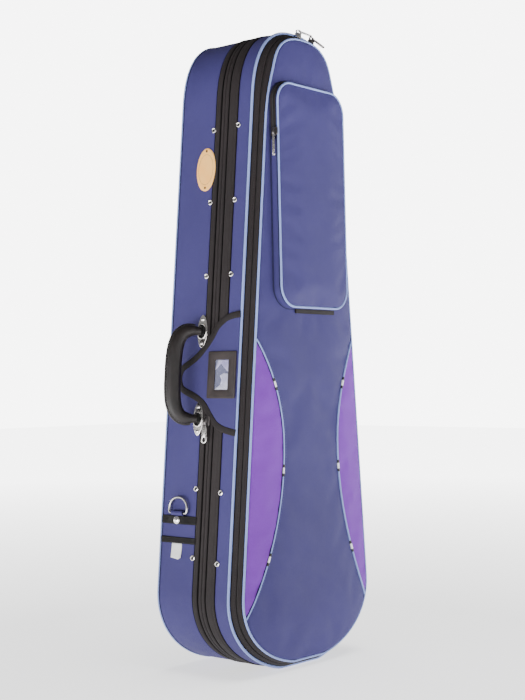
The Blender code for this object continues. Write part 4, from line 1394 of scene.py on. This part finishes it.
def make_bow_fittings():
    inner = LID_FRONT_Y + 0.0102
    for side, sign in (("left", -1), ("right", 1)):
        place = Matrix.Translation((sign * 0.038, inner, 0.15)) @ Matrix.Rotation(-math.pi / 2, 4, "X")
        clip = plate(f"bow_spinner_{side}", [rounded_box(4.9, 19.8, 4.7, 6)], place, 0.0004, 0.0096,
                     "leather", f"bow_clip_{side}", 0.0022, 4)
        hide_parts(f"bow_clip_{side}")
        turned(f"bow_spinner_pin_{side}", [(2.6, 0), (2.6, 0.6), (1.8, 1.2), (0.6, 1.4)],
               place @ Matrix.Translation((0, 0, 0.0094)), "steel", f"bow_clip_{side}", 20)
    rows = []
    for z, full in zip((0.7012, 0.7035, 0.712, 0.722, 0.73, 0.7335, 0.7348), (1, 1, 1, 1, 0.95, 0.75, 0.35)):
        width = 0.0498 - 0.002 * (1 - full)
        row = []
        for t in np.linspace(0, math.pi, 40):
            x = width * math.copysign(abs(math.cos(t)) ** 0.25, math.cos(t))
            row.append(Vector((x, inner + 0.0002 + 0.0118 * full * math.sin(t) ** 0.35, z)))
        rows.append(row)
    sleeve = grid("bow_sleeve_plush", rows, "plush", "lid", thickness=0.0012, facing=BACK)
    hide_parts("bow_tip_sleeve")
    mouth = [p + Vector((0, 0.0001, 0)) for p in rows[0]]
    sweep("bow_sleeve_elastic", mouth, circle(0.0011, 8), "binding", "lid", out=(0, 0, -1))


# The hinge strip


def make_hinge_strip():
    """Cloth tape over the gap on the right side, between the halves."""
    rows, uv = [], []
    ys = np.linspace(PARTING_Y - 0.0085, PARTING_Y + 0.0085, 15)
    for z in np.linspace(HINGE_LOW, HINGE_HIGH, 60):
        x = half_width(z) + 0.0011
        rows.append([Vector((x + 0.0005 * math.cos((y - PARTING_Y) * 180), y, z)) for y in ys])
        uv.append([(y, z) for y in ys])
    strip = grid("hinge_strip_cloth", rows, "binding", None, uv=uv, thickness=TAPE, facing=(1, 0, 0))
    middle = half_width(MIDDLE_Z)
    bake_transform(strip)


# Camera, light and floor


def make_camera():
    yaw, pitch, roll = CAMERA_YAW, CAMERA_PITCH, CAMERA_ROLL
    forward = Vector((math.sin(yaw) * math.cos(pitch), math.cos(yaw) * math.cos(pitch), math.sin(pitch)))
    right = Vector((math.cos(yaw), -math.sin(yaw), 0))
    up = right.cross(forward)
    turned_right = math.cos(roll) * right + math.sin(roll) * up
    turned_up = -math.sin(roll) * right + math.cos(roll) * up
    data = bpy.data.cameras.new("camera")
    data.lens = CAMERA_LENS
    data.sensor_width = 36
    camera = bpy.data.objects.new("camera", data)
    camera.matrix_world = Matrix((turned_right, turned_up, -forward)).transposed().to_4x4()
    camera.matrix_world.translation = CAMERA_PLACE
    bpy.context.scene.collection.objects.link(camera)
    bpy.context.scene.camera = camera


def make_floor():
    """A pale floor with a faint glow of its own, stronger far from the case."""
    bpy.ops.mesh.primitive_plane_add(size=14, location=(0, 0, -0.0004))
    floor = bpy.context.object
    floor.name = "floor"
    g = Graph("floor_pale", Roughness=0.35, Specular_IOR_Level=0.4, Emission_Color=(1, 1, 1, 1))
    far = g.add("ShaderNodeVectorMath", {"operation": "LENGTH"}, i0=g.place).outputs["Value"]
    glow = g.add("ShaderNodeMapRange", Value=far, From_Min=0.45, From_Max=3.2, To_Min=FLOOR_NEAR_GLOW,
                 To_Max=FLOOR_FAR_GLOW)
    g.tree.links.new(glow.outputs["Result"], g.shader.inputs["Emission Strength"])
    floor.data.materials.append(g.finish(g.ramp(g.noise(2), (0.88, 0.88, 0.88), (0.92, 0.92, 0.92))))
    return floor


def make_backdrop():
    world = bpy.data.worlds.new("studio")
    world.use_nodes = True
    background = world.node_tree.nodes["Background"]
    background.inputs["Color"].default_value = (1.0, 1.0, 1.0, 1)
    path = world.node_tree.nodes.new("ShaderNodeLightPath")
    strength = world.node_tree.nodes.new("ShaderNodeMapRange")
    strength.inputs["To Min"].default_value = BACKDROP_LIGHT
    strength.inputs["To Max"].default_value = BACKDROP_SEEN
    world.node_tree.links.new(path.outputs["Is Camera Ray"], strength.inputs["Value"])
    world.node_tree.links.new(strength.outputs["Result"], background.inputs["Strength"])
    bpy.context.scene.world = world


def make_lights(floor):
    """Square lamps aimed at the case. Only the one over the floor lights the floor."""
    receivers = {}
    for name, state in (("all_but_floor", "EXCLUDE"), ("only_floor", "INCLUDE")):
        receivers[name] = bpy.data.collections.new(name)
        receivers[name].objects.link(floor)
        receivers[name].collection_objects[0].light_linking.link_state = state
    for name, place, power, size in (
        ("key", (0.4, -1.4, 0.02), 7.2, 0.7),
        ("fill", (-1.5, -0.1, 0.02), 2.2, 0.7),
        ("low_front", (0.38, -0.8, 0.0), 3.7, 0.35),
        ("low_left", (-0.75, 0.12, 0.0), 6.0, 0.35),
        ("rim", (1.8, -0.4, 0.3), 9, 1.0),
        ("behind", (0.8, 2.2, 0.8), 16, 1.5),
        ("over_floor", (0.1, -0.2, 2.3), 60, 1.4),
    ):
        lamp = bpy.data.lights.new(name, "AREA")
        lamp.energy = power
        lamp.size = size
        obj = bpy.data.objects.new(name, lamp)
        obj.location = place
        lit = "only_floor" if name == "over_floor" else "all_but_floor"
        obj.light_linking.receiver_collection = receivers[lit]
        aim = Vector((0, 0, 0.2)) - Vector(place)
        obj.rotation_euler = aim.to_track_quat("-Z", "Y").to_euler()
        bpy.context.scene.collection.objects.link(obj)


make_camera()
make_backdrop()
make_lights(make_floor())
make_rear_cover()
make_lid_cover()
make_zip_band()
make_pipings()
make_pocket_zip()
make_music_panel()
make_accessory_pocket()
make_tongue()
make_label_holder()
make_handle()
make_eyelets()
make_badge()
make_webbing()
make_d_ring()
make_care_tag()
make_sliders()
make_lining("rear", PARTING_Y + 0.0004, BACK_Y - 0.0092, 0.0)
make_lining("lid", PARTING_Y - 0.0004, LID_FRONT_Y + 0.0092, 0.0022)
make_cradle()
make_neck_rest()
make_accessory_box()
make_bow_fittings()
make_hinge_strip()
